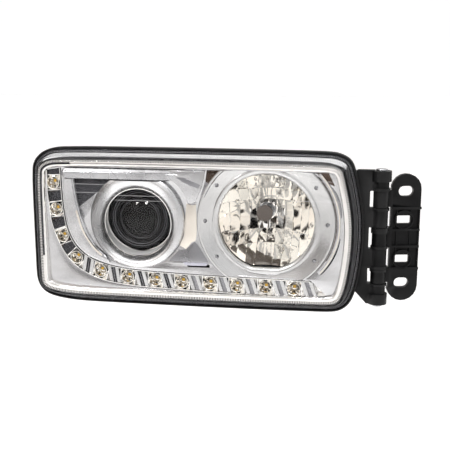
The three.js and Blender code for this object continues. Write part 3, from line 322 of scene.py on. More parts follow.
class Acc:
    """Collects closed shells into one piece."""

    def __init__(self):
        self.bm = bmesh.new()
        self.mats = []

    def _mi(self, mat):
        if mat not in self.mats:
            self.mats.append(mat)
        return self.mats.index(mat)

    def _take(self, bm, mat):
        i = self._mi(mat)
        for f in bm.faces:
            f.material_index = i
            f.smooth = True
        me = bpy.data.meshes.new("tmp")
        bm.to_mesh(me)
        bm.free()
        self.bm.from_mesh(me)
        bpy.data.meshes.remove(me)

    def grid(self, rows, mat, closed_u=True, closed_v=False, cap=True, keep=None):
        """Skin over rows of mm points. A row of one point is a pole."""
        bm = bmesh.new()
        vr = []
        for r in rows:
            vr.append([bm.verts.new(P(*p)) for p in r])
        n = len(rows)
        for j in range(n if closed_v else n - 1):
            a, b = vr[j], vr[(j + 1) % n]
            la, lb = len(a), len(b)
            m = max(la, lb)
            for i in range(m if closed_u else m - 1):
                k = (i + 1) % m
                q = [a[i % la] if la > 1 else a[0], a[k % la] if la > 1 else a[0], b[k % lb] if lb > 1 else b[0], b[i % lb] if lb > 1 else b[0]]
                u = []
                for v in q:
                    if v not in u:
                        u.append(v)
                if len(u) >= 3:
                    try:
                        bm.faces.new(u)
                    except ValueError:
                        pass
        bmesh.ops.recalc_face_normals(bm, faces=bm.faces)
        if keep:
            for co, no in keep:
                cut_bm(bm, co, no)
        self._take(bm, mat)
        return self

    def lathe(self, prof, cx, cz, mat, n=96, closed=False, keep=None, axis="y", a0=0.0):
        rows = []
        for r, y in prof:
            if r < 1e-6:
                rows.append([(cx, y, cz)] if axis == "y" else [(cx, cz, y)])
            else:
                row = []
                for i in range(n):
                    t = a0 + 2 * math.pi * i / n
                    if axis == "y":
                        row.append((cx + r * math.cos(t), y, cz + r * math.sin(t)))
                    elif axis == "z":
                        row.append((cx + r * math.cos(t), cz + r * math.sin(t), y))
                    else:
                        row.append((y, cx + r * math.cos(t), cz + r * math.sin(t)))
                rows.append(row)
        if axis == "x":
            rows = [[(y, cx, cz)] if r < 1e-6 else row for (r, y), row in zip(prof, rows)]
        return self.grid(rows, mat, closed_v=closed, keep=keep)

    def box(self, x0, x1, y0, y1, z0, z1, mat, bevel=0.6, seg=2, turn=None):
        bm = bmesh.new()
        bmesh.ops.create_cube(bm, size=1.0)
        for v in bm.verts:
            v.co = Vector(((v.co.x + 0.5) * (x1 - x0) + x0, (v.co.y + 0.5) * (y1 - y0) + y0, (v.co.z + 0.5) * (z1 - z0) + z0))
        if bevel > 0:
            bmesh.ops.bevel(bm, geom=list(bm.edges), offset=bevel, segments=seg, affect="EDGES", profile=0.6)
        if turn:
            for v in bm.verts:
                v.co = turn(v.co)
        for v in bm.verts:
            v.co = P(*v.co)
        self._take(bm, mat)
        return self

    def plate(self, outlines, y0, y1, mat, bevel=0.5, seg=2, turn=None, keep=None):
        """Plate with holes: first outline is the edge, the rest are holes. Outlines are x-z points."""
        cu = bpy.data.curves.new("c", "CURVE")
        cu.dimensions = "2D"
        cu.fill_mode = "BOTH"
        cu.extrude = max(0.01, (y1 - y0) / 2 - bevel)
        cu.bevel_depth = bevel
        cu.bevel_resolution = seg
        cu.offset = -bevel
        for o in outlines:
            s = cu.splines.new("POLY")
            s.points.add(len(o) - 1)
            for i, (x, z) in enumerate(o):
                s.points[i].co = (x, z, 0, 1)
            s.use_cyclic_u = True
        ob = bpy.data.objects.new("c", cu)
        bpy.context.scene.collection.objects.link(ob)
        dg = bpy.context.evaluated_depsgraph_get()
        me = bpy.data.meshes.new_from_object(ob.evaluated_get(dg))
        bm = bmesh.new()
        bm.from_mesh(me)
        bpy.data.objects.remove(ob)
        bpy.data.curves.remove(cu)
        bpy.data.meshes.remove(me)
        bmesh.ops.remove_doubles(bm, verts=bm.verts, dist=1e-3)
        ym = (y0 + y1) / 2
        for v in bm.verts:
            q = Vector((v.co.x, ym - v.co.z, v.co.y))
            v.co = P(*(turn(q) if turn else q))
        bmesh.ops.recalc_face_normals(bm, faces=bm.faces)
        if keep:
            for co, no in keep:
                cut_bm(bm, co, no)
        self._take(bm, mat)
        return self

    def done(self, name, body, slot, replaces=(), angle=32):
        me = bpy.data.meshes.new(name)
        bmesh.ops.recalc_face_normals(self.bm, faces=self.bm.faces)
        self.bm.to_mesh(me)
        self.bm.free()
        for m in self.mats:
            me.materials.append(m)
        me.set_sharp_from_angle(angle=math.radians(angle))
        ob = bpy.data.objects.new(name, me)
        bpy.context.scene.collection.objects.link(ob)
        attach(ob, body)
        if replaces:
            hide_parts(*replaces)
        PIECES.append(ob)
        return ob


def cut_bm(bm, co, no):
    """Keeps the side of a plane that its normal points away from, and closes the cut."""
    r = bmesh.ops.bisect_plane(bm, geom=list(bm.verts) + list(bm.edges) + list(bm.faces), plane_co=P(*co), plane_no=Vector(no), clear_outer=True)
    edges = [e for e in r["geom_cut"] if isinstance(e, bmesh.types.BMEdge) and e.is_boundary]
    if edges:
        bmesh.ops.holes_fill(bm, edges=edges, sides=0)


def spline(points, per=6, closed=True):
    """Smooth line through the points."""
    out = []
    n = len(points)
    rng = range(n) if closed else range(n - 1)
    for i in rng:
        p0 = points[(i - 1) % n] if closed or i > 0 else points[i]
        p1, p2 = points[i], points[(i + 1) % n]
        p3 = points[(i + 2) % n] if closed or i < n - 2 else points[min(n - 1, i + 1)]
        l1 = max(1e-6, math.dist(p0, p1)) ** 0.5
        l2 = max(1e-6, math.dist(p1, p2)) ** 0.5
        l3 = max(1e-6, math.dist(p2, p3)) ** 0.5
        t0, t1 = 0.0, l1
        t2 = t1 + l2
        t3 = t2 + l3
        for k in range(per):
            t = t1 + (t2 - t1) * k / per

            def mixp(a, b, ta, tb):
                if tb - ta < 1e-9:
                    return a
                w = (t - ta) / (tb - ta)
                return tuple(a[c] * (1 - w) + b[c] * w for c in range(len(a)))
            a1, a2, a3 = mixp(p0, p1, t0, t1), mixp(p1, p2, t1, t2), mixp(p2, p3, t2, t3)
            b1, b2 = mixp(a1, a2, t0, t2), mixp(a2, a3, t1, t3)
            out.append(mixp(b1, b2, t1, t2))
    if not closed:
        out.append(tuple(points[-1]))
    return out


def hull(points):
    pts = sorted(points)

    def cr(o, a, b):
        return (a[0] - o[0]) * (b[1] - o[1]) - (a[1] - o[1]) * (b[0] - o[0])

    def half(seq):
        o = []
        for p in seq:
            while len(o) > 1 and cr(o[-2], o[-1], p) <= 1e-9:
                o.pop()
            o.append(p)
        return o[:-1]
    return half(pts) + half(pts[::-1])


SMOOTH = hull([tuple(p) for p in spline(RIM, 5)])


def inset_hull(d):
    poly = [(-900.0, -900.0), (900.0, -900.0), (900.0, 900.0), (-900.0, 900.0)]
    m = len(SMOOTH)
    for i in range(m):
        a, b = SMOOTH[i], SMOOTH[(i + 1) % m]
        ln = math.dist(a, b)
        nx, nz = -(b[1] - a[1]) / ln, (b[0] - a[0]) / ln
        off = a[0] * nx + a[1] * nz + d
        s = [p[0] * nx + p[1] * nz - off for p in poly]
        if min(s) >= 0:
            continue
        nxt = []
        for k in range(len(poly)):
            p, q = poly[k], poly[(k + 1) % len(poly)]
            sp, sq = s[k], s[(k + 1) % len(poly)]
            if sp >= 0:
                nxt.append(p)
            if (sp >= 0) != (sq >= 0):
                t = sp / (sp - sq)
                nxt.append((p[0] + (q[0] - p[0]) * t, p[1] + (q[1] - p[1]) * t))
        poly = nxt
    return poly


def resample(poly, step):
    out = []
    n = len(poly)
    total = sum(math.dist(poly[i], poly[(i + 1) % n]) for i in range(n))
    cnt = max(8, int(round(total / step)))
    st = total / cnt
    i, acc = 0, 0.0
    for k in range(cnt):
        want = k * st
        while acc + math.dist(poly[i], poly[(i + 1) % n]) < want:
            acc += math.dist(poly[i], poly[(i + 1) % n])
            i = (i + 1) % n
        a, b = poly[i], poly[(i + 1) % n]
        w = (want - acc) / max(1e-9, math.dist(a, b))
        out.append((a[0] + (b[0] - a[0]) * w, a[1] + (b[1] - a[1]) * w))
    return out


def _dirs():
    pts = resample(inset_hull(14), 6.5)
    return [math.atan2(z - CENTRE[1], x - CENTRE[0]) for x, z in pts]


DIRS = _dirs()
_ring = {}


def ring(d):
    if d in _ring:
        return _ring[d]
    poly = inset_hull(d)
    angs = sorted((math.atan2(z - CENTRE[1], x - CENTRE[0]), (x, z)) for x, z in poly)
    angs = [(angs[-1][0] - 2 * math.pi, angs[-1][1])] + angs + [(angs[0][0] + 2 * math.pi, angs[0][1])]
    out = []
    for t in DIRS:
        lo, hi = 0, len(angs) - 1
        while hi - lo > 1:
            mid = (lo + hi) // 2
            if angs[mid][0] <= t:
                lo = mid
            else:
                hi = mid
        p, q = angs[lo][1], angs[hi][1]
        ux, uz = math.cos(t), math.sin(t)
        ex, ez = q[0] - p[0], q[1] - p[1]
        den = ux * ez - uz * ex
        s = ((p[0] - CENTRE[0]) * ez - (p[1] - CENTRE[1]) * ex) / den if abs(den) > 1e-12 else math.dist(p, CENTRE)
        out.append((CENTRE[0] + ux * s, CENTRE[1] + uz * s))
    _ring[d] = out
    return out


def rows_of(rows):
    out = []
    for r in rows:
        s = r[2] if len(r) > 2 else 1.0
        if s == 0:
            out.append([(CENTRE[0], r[1], CENTRE[1])])
        else:
            out.append([(CENTRE[0] + (x - CENTRE[0]) * s, r[1], CENTRE[1] + (z - CENTRE[1]) * s) for x, z in ring(r[0])])
    return out


def circ(cx, cz, r, n=96, a0=0.0, a1=2 * math.pi, ends=False):
    m = n if not ends else n + 1
    return [(cx + r * math.cos(a0 + (a1 - a0) * i / n), cz + r * math.sin(a0 + (a1 - a0) * i / n)) for i in range(m)]


def rrect(cx, cz, w, h, r, n=6):
    out = []
    for sx, sz, a in ((1, 1, 0), (-1, 1, 90), (-1, -1, 180), (1, -1, 270)):
        for k in range(n + 1):
            t = math.radians(a + 90 * k / n)
            out.append((cx + sx * (w / 2 - r) + r * math.cos(t), cz + sz * (h / 2 - r) + r * math.sin(t)))
    return out


def sideways(line, d):
    out = []
    for i, p in enumerate(line):
        a, b = line[max(0, i - 1)], line[min(len(line) - 1, i + 1)]
        ln = math.dist(a, b)
        out.append((p[0] - (b[1] - a[1]) / ln * d, p[1] + (b[0] - a[0]) / ln * d))
    return out


def channel(g):
    o = [list(p) for p in sideways(spline(DRL_OUTER, 4, False), -g)]
    i = [list(p) for p in sideways(spline(DRL_INNER, 4, False), g)]
    o[0][1] += g
    i[0][1] += g
    o[-1][0] += 2 * g
    i[-1][0] += 2 * g
    return [tuple(p) for p in o] + [tuple(p) for p in i[::-1]]


def flat_circle(r, flat, n=120):
    return [(x, max(z, flat)) for x, z in circ(HIGH[0], HIGH[1], r, n)]


# ------------------------------------------------------------------ housing
def build_housing():
    a = Acc()
    a.grid(rows_of([
        (40, BACK_Y, 0), (40, BACK_Y), (38, BACK_Y - 0.4), (26.8, 158.8), (25.2, 156), (12, 112), (5.2, 51), (4.4, 48.4), (0.6, 42), (0, 40.6), (0, 28),
        (0.5, 27.2), (1, 27), (2.4, 27), (2.8, 27.3), (3, 28), (3, 36), (9.4, 36), (15, 111), (28.6, 155.6), (41.4, 163), (41.4, 163, 0)]), M_BLACK)
    # ports, rear ribs and pads
    for cx, cz in (LOW, HIGH):
        a.lathe([(46.6, 164), (50, 164), (50, 177.4), (49.4, 178), (47.2, 178), (46.6, 177.4)], cx, cz, M_BLACK, closed=True)
        a.lathe([(55.5, BACK_Y - 0.5), (55.5, BACK_Y + 1.0), (57.5, BACK_Y + 1.0), (57.5, BACK_Y - 0.5)], cx, cz, M_BLACK, closed=True)
        a.lathe([(0, BACK_Y - 0.2), (46.7, BACK_Y - 0.2), (46.7, BACK_Y + 1), (0, BACK_Y + 1)], cx, cz, M_INNER)
    for x, z, r, y1 in ((142, 62, 13, BACK_Y + 4), (-262, 40, 11, BACK_Y + 12)):
        hole = 9.4 if x > 0 else 3.4
        a.lathe([(hole, 160), (r, 160), (r, y1 - 0.8), (r - 0.8, y1), (hole + 0.5, y1), (hole, y1 - 0.5)], x, z, M_BLACK, n=48, closed=True)
    # strengthening ribs on the back
    for x in (-252, -230, 118, 134):
        a.box(x - 1.1, x + 1.1, BACK_Y - 1, BACK_Y + 2.2, -52, 30, M_BLACK, bevel=0.5)
    for z in (-68, 74):
        a.box(-190, -82, BACK_Y - 1, BACK_Y + 1.8, z - 1.1, z + 1.1, M_BLACK, bevel=0.5)
        a.box(4, 110, BACK_Y - 1, BACK_Y + 1.8, z - 1.1, z + 1.1, M_BLACK, bevel=0.5)
    # fine ribs along the outside of the rim, right-hand side and top
    rim = resample(inset_hull(0.2), 4.2)
    m = len(rim)
    for k in range(m):
        x, z = rim[k]
        a0, b0 = rim[(k - 1) % m], rim[(k + 1) % m]
        ln = math.dist(a0, b0)
        tx, tz = (b0[0] - a0[0]) / ln, (b0[1] - a0[1]) / ln
        nx, nz = tz, -tx
        def turn(co, x=x, z=z, tx=tx, tz=tz, nx=nx, nz=nz):
            return Vector((x + tx * co.x + nx * co.z, co.y, z + tz * co.x + nz * co.z))
        a.box(-0.8, 0.8, 28.4, 40.6, -1.6, 0.45, M_BLACK, bevel=0.0, turn=turn)
    a.done("housing_shell", "lamp_body", "black_plastic", ["housing"])


# ------------------------------------------------------------------ lens
def build_lens():
    a = Acc()
    H = [0, 0.15, 0.3, 0.45, 0.6, 0.75, 0.88]
    dome = lambda s: -6.0 * (1 - s * s)
    outer = [(22, 0.4 + dome(s), s) for s in H]
    inner = [(22, 3.4 + dome(s), s) for s in H[::-1]]
    a.grid(rows_of(outer + [(22, 0.4), (19.5, 0.7), (17.4, 1.5), (15.6, 2.9), (14.4, 4.6), (13.5, 7), (7.2, 27.6), (6.4, 28.3), (3.5, 28.4), (3.4, 28.7),
                            (3.4, 31.8), (9, 31.8), (9.8, 28.6), (16.2, 8), (17.2, 5.8), (18.8, 4.3), (22, 3.4)] + inner), M_LENS)
    a.done("lens_shell", "lamp_body", "clear_polycarbonate", ["outer_lens"])
    # moulded flutes: on the flange, down the side wall, and in the shoulder; all but the top ones are drawn dark as
    # painted shade
    f = Acc()
    for d0, y0, d1, y1, w, step, th, fm in ((7.0, 27.0, 5.6, 27.5, 1.1, 2.5, 0.8, M_FLUTE_SHADE), (12.9, 9.6, 9.6, 20.8, 1.1, 2.5, 0.7, M_WALLFLUTE)):
        p0 = resample(inset_hull((d0 + d1) / 2), step)
        m = len(p0)
        for k in range(m):
            x, z = p0[k]
            a0, b0 = p0[(k - 1) % m], p0[(k + 1) % m]
            ln = math.dist(a0, b0)
            tx, tz = (b0[0] - a0[0]) / ln, (b0[1] - a0[1]) / ln
            nx, nz = -tz, tx
            dd, yy = d0 - d1, y0 - y1
            L2 = math.hypot(dd, yy)
            ux, uy = dd / L2, yy / L2
            def turn(co, x=x, z=z, tx=tx, tz=tz, nx=nx, nz=nz, ux=ux, uy=uy, ym=(y0 + y1) / 2):
                s, h = co.z, co.y
                off = ux * s + uy * h
                return Vector((x + tx * co.x + nx * off, ym + uy * s - ux * h, z + tz * co.x + nz * off))
            f.box(-w / 2, w / 2, -th / 2, th / 2, -L2 / 2, L2 / 2, fm if z > 62 else M_FLUTE_SHADE, bevel=0.0, turn=turn)
    f.done("lens_flutes", "lamp_body", "clear_polycarbonate")
    # dark ground behind the flutes and in the gap round the bezel
    d = Acc()
    d.grid(rows_of([(8.0, 31.2), (4.2, 31.0), (4.0, 29.4), (8.0, 29.6)]), M_INNER, closed_v=True)
    d.grid(rows_of([(17.6, 13.4), (17.6, 12.6), (14.6, 13.8), (11.4, 25.6), (10.6, 30.5), (11.8, 30.5), (12.6, 26.2), (15.6, 14.8)]), M_INNER, closed_v=True)
    d.done("gap_ground", "lamp_body", "black_plastic")
    g = Acc()
    # painted highlight: a bright ring along the lens edge, with a dim ring beside it as painted shade
    g.grid(rows_of([(9.6, 27.6), (9.2, 28.4), (8.6, 27.9), (8.9, 27.0)]), M_FLUTE_HIGHLIGHT, closed_v=True)
    g.grid(rows_of([(4.9, 27.9), (4.6, 28.3), (4.2, 27.9), (4.5, 27.5)]), M_FLUTE_SHADE, closed_v=True)
    # fine moulding lines across the inside of the face, drawn bright as a painted glint
    for x0, x1, z, y in ((-236, -182, 53.6, 5.2), (-234, -186, 41.0, 4.6), (-170, -96, 38.4, 2.2), (-172, -94, 31.4, 2.0), (64, 158, 66.0, 5.4), (92, 164, 37.6, 4.6)):
        g.box(x0, x1, y - 0.12, y + 0.12, z - 0.16, z + 0.16, M_FLUTE_HIGHLIGHT, bevel=0.0)
    g.done("lens_painted_highlight_lines", "lamp_body", "clear_polycarbonate")


# ------------------------------------------------------------------ finer copies of frame nodes
def refine(node, body, slot, mat, bevel=0.5, limit=28, seg=2, name=None, extra=None, smooth=40):
    """A node's own shape with rounded edges."""
    src = frame["nodes"][node]
    bm = bmesh.new()
    bm.from_mesh(src.data)
    bmesh.ops.remove_doubles(bm, verts=bm.verts, dist=1e-6)
    bmesh.ops.dissolve_limit(bm, angle_limit=math.radians(1.0), verts=bm.verts, edges=bm.edges)
    bm.normal_update()
    edges = [e for e in bm.edges if len(e.link_faces) == 2 and e.calc_face_angle(0) > math.radians(limit) and e.calc_length() > 0.0012]
    if bevel > 0 and edges:
        bmesh.ops.bevel(bm, geom=edges, offset=bevel / 1000, segments=seg, affect="EDGES", profile=0.6, clamp_overlap=True)
    bmesh.ops.dissolve_degenerate(bm, edges=bm.edges, dist=1e-7)
    bmesh.ops.triangulate(bm, faces=[f for f in bm.faces if len(f.verts) > 4])
    bmesh.ops.recalc_face_normals(bm, faces=bm.faces)
    a = Acc()
    i = a._mi(mat)
    for f in bm.faces:
        f.material_index = i
        f.smooth = True
    me = bpy.data.meshes.new("tmp")
    bm.to_mesh(me)
    bm.free()
    a.bm.from_mesh(me)
    bpy.data.meshes.remove(me)
    if extra:
        extra(a)
    return a.done(name or node + "_form", body, slot, [node], angle=smooth)


# ------------------------------------------------------------------ bezel
BLADE_OUT = [(-248.6, 60.6), (-249, 36), (-246, 0), (-235.6, -30), (-219, -49.4), (-201, -59.4), (-179, -66)]
BLADE_IN = [(-234, 60.6), (-231, 37), (-225, 8), (-217, -17), (-207, -34), (-198, -45), (-186, -55)]


def along(line, step):
    """The line's points, each with the direction there, taking the line as closed; step is not used."""
    out = []
    n = len(line)
    for k in range(n):
        a, b = line[(k - 1) % n], line[(k + 1) % n]
        ln = max(1e-9, math.dist(a, b))
        out.append((line[k][0], line[k][1], (b[0] - a[0]) / ln, (b[1] - a[1]) / ln))
    return out


def build_bezel():
    a = Acc()
    a.grid(rows_of([(20.6, 11.0), (20.7, 9.0), (21.2, 8.4), (22.0, 8.2), (24.4, 8.0), (25.2, 8.1), (26.0, 8.5), (26.5, 9.4), (27.3, 14.4), (27.3, 17), (20.6, 17)]), M_FRAME, closed_v=True)
    a.grid(rows_of([(17.9, 16.8), (17.9, 9.6), (18.4, 9.2), (20.4, 9.2), (20.8, 9.6), (20.8, 16.8)]), M_INNER, closed_v=True)
    a.grid(rows_of([(27.2, 10.2), (26.7, 9.0), (26.1, 8.2), (25.6, 8.0), (25.9, 8.6), (26.4, 9.6), (26.9, 11.0)]), M_CHROME, closed_v=True)
    # painted shade: a dark strip laid down the left side of the frame band
    def stretch_of(d0, d1, keep):
        def run(d):
            pts = resample(inset_hull(d), 3.0)
            n = len(pts)
            ok = [keep(q) for q in pts]
            k0 = next(k for k in range(n) if ok[k] and not ok[k - 1])
            out = []
            while ok[k0 % n] and len(out) < n:
                out.append(pts[k0 % n])
                k0 += 1
            return out
        return run(d0) + run(d1)[::-1]
    left = lambda q: q[0] < -236 and q[1] > -60
    a.plate([stretch_of(20.9, 24.3, left)], 7.86, 8.3, M_PAINTED_DARK, bevel=0.1, seg=1)
    # pale shoulder along the top, under the lens
    prof = [(9.95, 29.2), (14.6, 14.5), (15.2, 14.9), (11.2, 29.5)]
    rws = [resample(inset_hull(d), 3.0) for d, _ in prof]
    st = []
    for q in rws[0]:
        if q[1] > 84 and q[0] > -286:
            row = []
            for (d, y), rr in zip(prof, rws):
                t = min(rr, key=lambda w: (w[0] - q[0]) ** 2 + (w[1] - q[1]) ** 2)
                row.append((q[0], y, t[1]))
            st.append(row)
    st.sort(key=lambda r: r[0][0])
    a.grid(st, M_SHOULDER, closed_u=True)
    for r in (st[0], st[-1]):
        bm = bmesh.new()
        bm.faces.new([bm.verts.new(P(*q)) for q in r])
        a._take(bm, M_SHOULDER)
    bmesh.ops.remove_doubles(a.bm, verts=a.bm.verts, dist=1e-7)
    # fine ribs round the frame band
    for x, z, tx, tz in along(resample(inset_hull(19.4), 2.5), 2.5):
        nx, nz = -tz, tx
        def turn(co, x=x, z=z, tx=tx, tz=tz, nx=nx, nz=nz):
            return Vector((x + tx * co.x + nx * co.z, co.y, z + tz * co.x + nz * co.z))
        a.box(-0.62, 0.62, 8.3, 9.6, -1.7, 1.7, M_FRAME, bevel=0.0, turn=turn)
    edge = resample(inset_hull(25.4), 5)
    hz = [(x, min(max(z, -79.2), 77.6)) for x, z in circ(HIGH[0], HIGH[1], 101.9, 200)]
    lz = [(x, min(max(z, -72.6), 60.0)) for x, z in circ(LOW[0], LOW[1], 73.4, 140)]
    def tidy(o):
        out = []
        for p in o:
            if not out or math.dist(out[-1], p) > 0.3:
                out.append(p)
        if math.dist(out[0], out[-1]) < 0.3:
            out.pop()
        return out
    notch = rrect(-43, -66.5, 34, 5, 1.5)
    a.plate([edge, tidy(hz), tidy(lz), channel(0.4), notch], 14.0, 16.6, M_BEZEL, bevel=0.35, seg=1)
    # mirror facets that stand on the panel, coloured as painted reflection: one dark, one grey
    def facet(poly, mt, y0=12.8, y1=14.3, bevel=0.25):
        ar = sum(poly[i][0] * poly[(i + 1) % len(poly)][1] - poly[(i + 1) % len(poly)][0] * poly[i][1] for i in range(len(poly)))
        a.plate([poly if ar > 0 else poly[::-1]], y0, y1, mt, bevel=bevel, seg=1)
    facet([(-233.4, 60.6), (-176.6, 60.6), (-181, 54.6), (-189, 46.4), (-202.4, 36.6), (-226.6, 17.6), (-230.4, 38)], M_PAINTED_DARK)
    facet([(-226.3, 17.2), (-202.2, 36.2), (-205, 28.4), (-208.4, 16), (-220.6, -1.2), (-224.6, 8)], M_PAINTED_GREY)
    for k in range(9):
        t = k / 8.0
        x0, z0 = -226.0 + 5.2 * t, 16.2 - 16.4 * t
        x1, z1 = -203.4 - 4.4 * t, 34.2 - 17.0 * t
        ln = math.hypot(x1 - x0, z1 - z0)
        ux, uz = (x1 - x0) / ln, (z1 - z0) / ln
        a.box(0, ln, 12.3, 13.0, -0.35, 0.35, M_SATSIL, bevel=0.12, turn=lambda co, x0=x0, z0=z0, ux=ux, uz=uz: Vector((x0 + ux * co.x - uz * co.z, co.y, z0 + uz * co.x + ux * co.z)))
    # between the two beams: facets in painted cream, grey and lilac reflection
    facet([(-60.2, 27.4), (-51.4, 24.6), (-46, 27), (-45.2, 8), (-44.8, -10), (-45.6, -22), (-47.4, -29), (-52.4, -30.4), (-61.6, -41.6), (-71.2, -36), (-64.8, -22), (-62.9, 0)], M_PAINTED_CREAM)
    facet([(-48.6, -29.6), (-44.4, -33.4), (-40.6, -38.8), (-31, -54.4), (-27.4, -60), (-88.4, -60.6), (-79.6, -51.4), (-72.4, -43.4), (-61.8, -41.8), (-57.0, -38.0)], M_PAINTED_GREY, y0=12.5)
    facet([(-66.4, -61.4), (-27.6, -61.4), (-30.6, -66.2), (-63.4, -66.6)], M_PAINTED_LILAC, y0=12.9)
    # painted reflection: brown and grey patches above, where the bar meets the high beam
    facet([(-29.6, 77.4), (-3.4, 77.4), (-12.4, 69.4), (-22.6, 56.2), (-31.6, 60.4)], M_PAINTED_BROWN)
    facet([(-32.2, 60.0), (-23.2, 55.4), (-33.4, 36.4), (-39.2, 38.4)], M_PAINTED_GREY)
    # crescents right of the high beam, in painted brown, grey and dark reflection
    def arc(r0, r1, t0, t1, mt, y0=13.0, taper=0.0):
        n = 40
        o, i = [], []
        for k in range(n + 1):
            t = math.radians(t0 + (t1 - t0) * k / n)
            w = (r1 - r0) * (1 - taper * abs(2 * k / n - 1) ** 2)
            o.append((HIGH[0] + (r0 + w) * math.cos(t), HIGH[1] + (r0 + w) * math.sin(t)))
            i.append((HIGH[0] + r0 * math.cos(t), HIGH[1] + r0 * math.sin(t)))
        facet(o + i[::-1], mt, y0=y0, bevel=0.2)
    facet([(125.2, 77.4), (146.6, 77.4), (152.6, 66.0), (156.0, 58.4), (148.0, 62.0), (139.4, 70.4), (135.0, 74.0)], M_PAINTED_BROWN)
    arc(109.4, 112.6, 30, 6, M_PAINTED_GREY, taper=0.7)
    arc(109.4, 111.6, -10, -42, M_PAINTED_DARK, taper=0.5)
    # faint streaks of the lower corner panel
    for k in range(14):
        x = -72 + k * 2.4
        a.box(x - 0.35, x + 0.35, 13.7, 14.3, -79, -72 + 0.5 * math.sin(k), M_SATSIL, bevel=0.15)
    a.done("bezel_form", "lamp_body", "bezel_silver", ["bezel"])


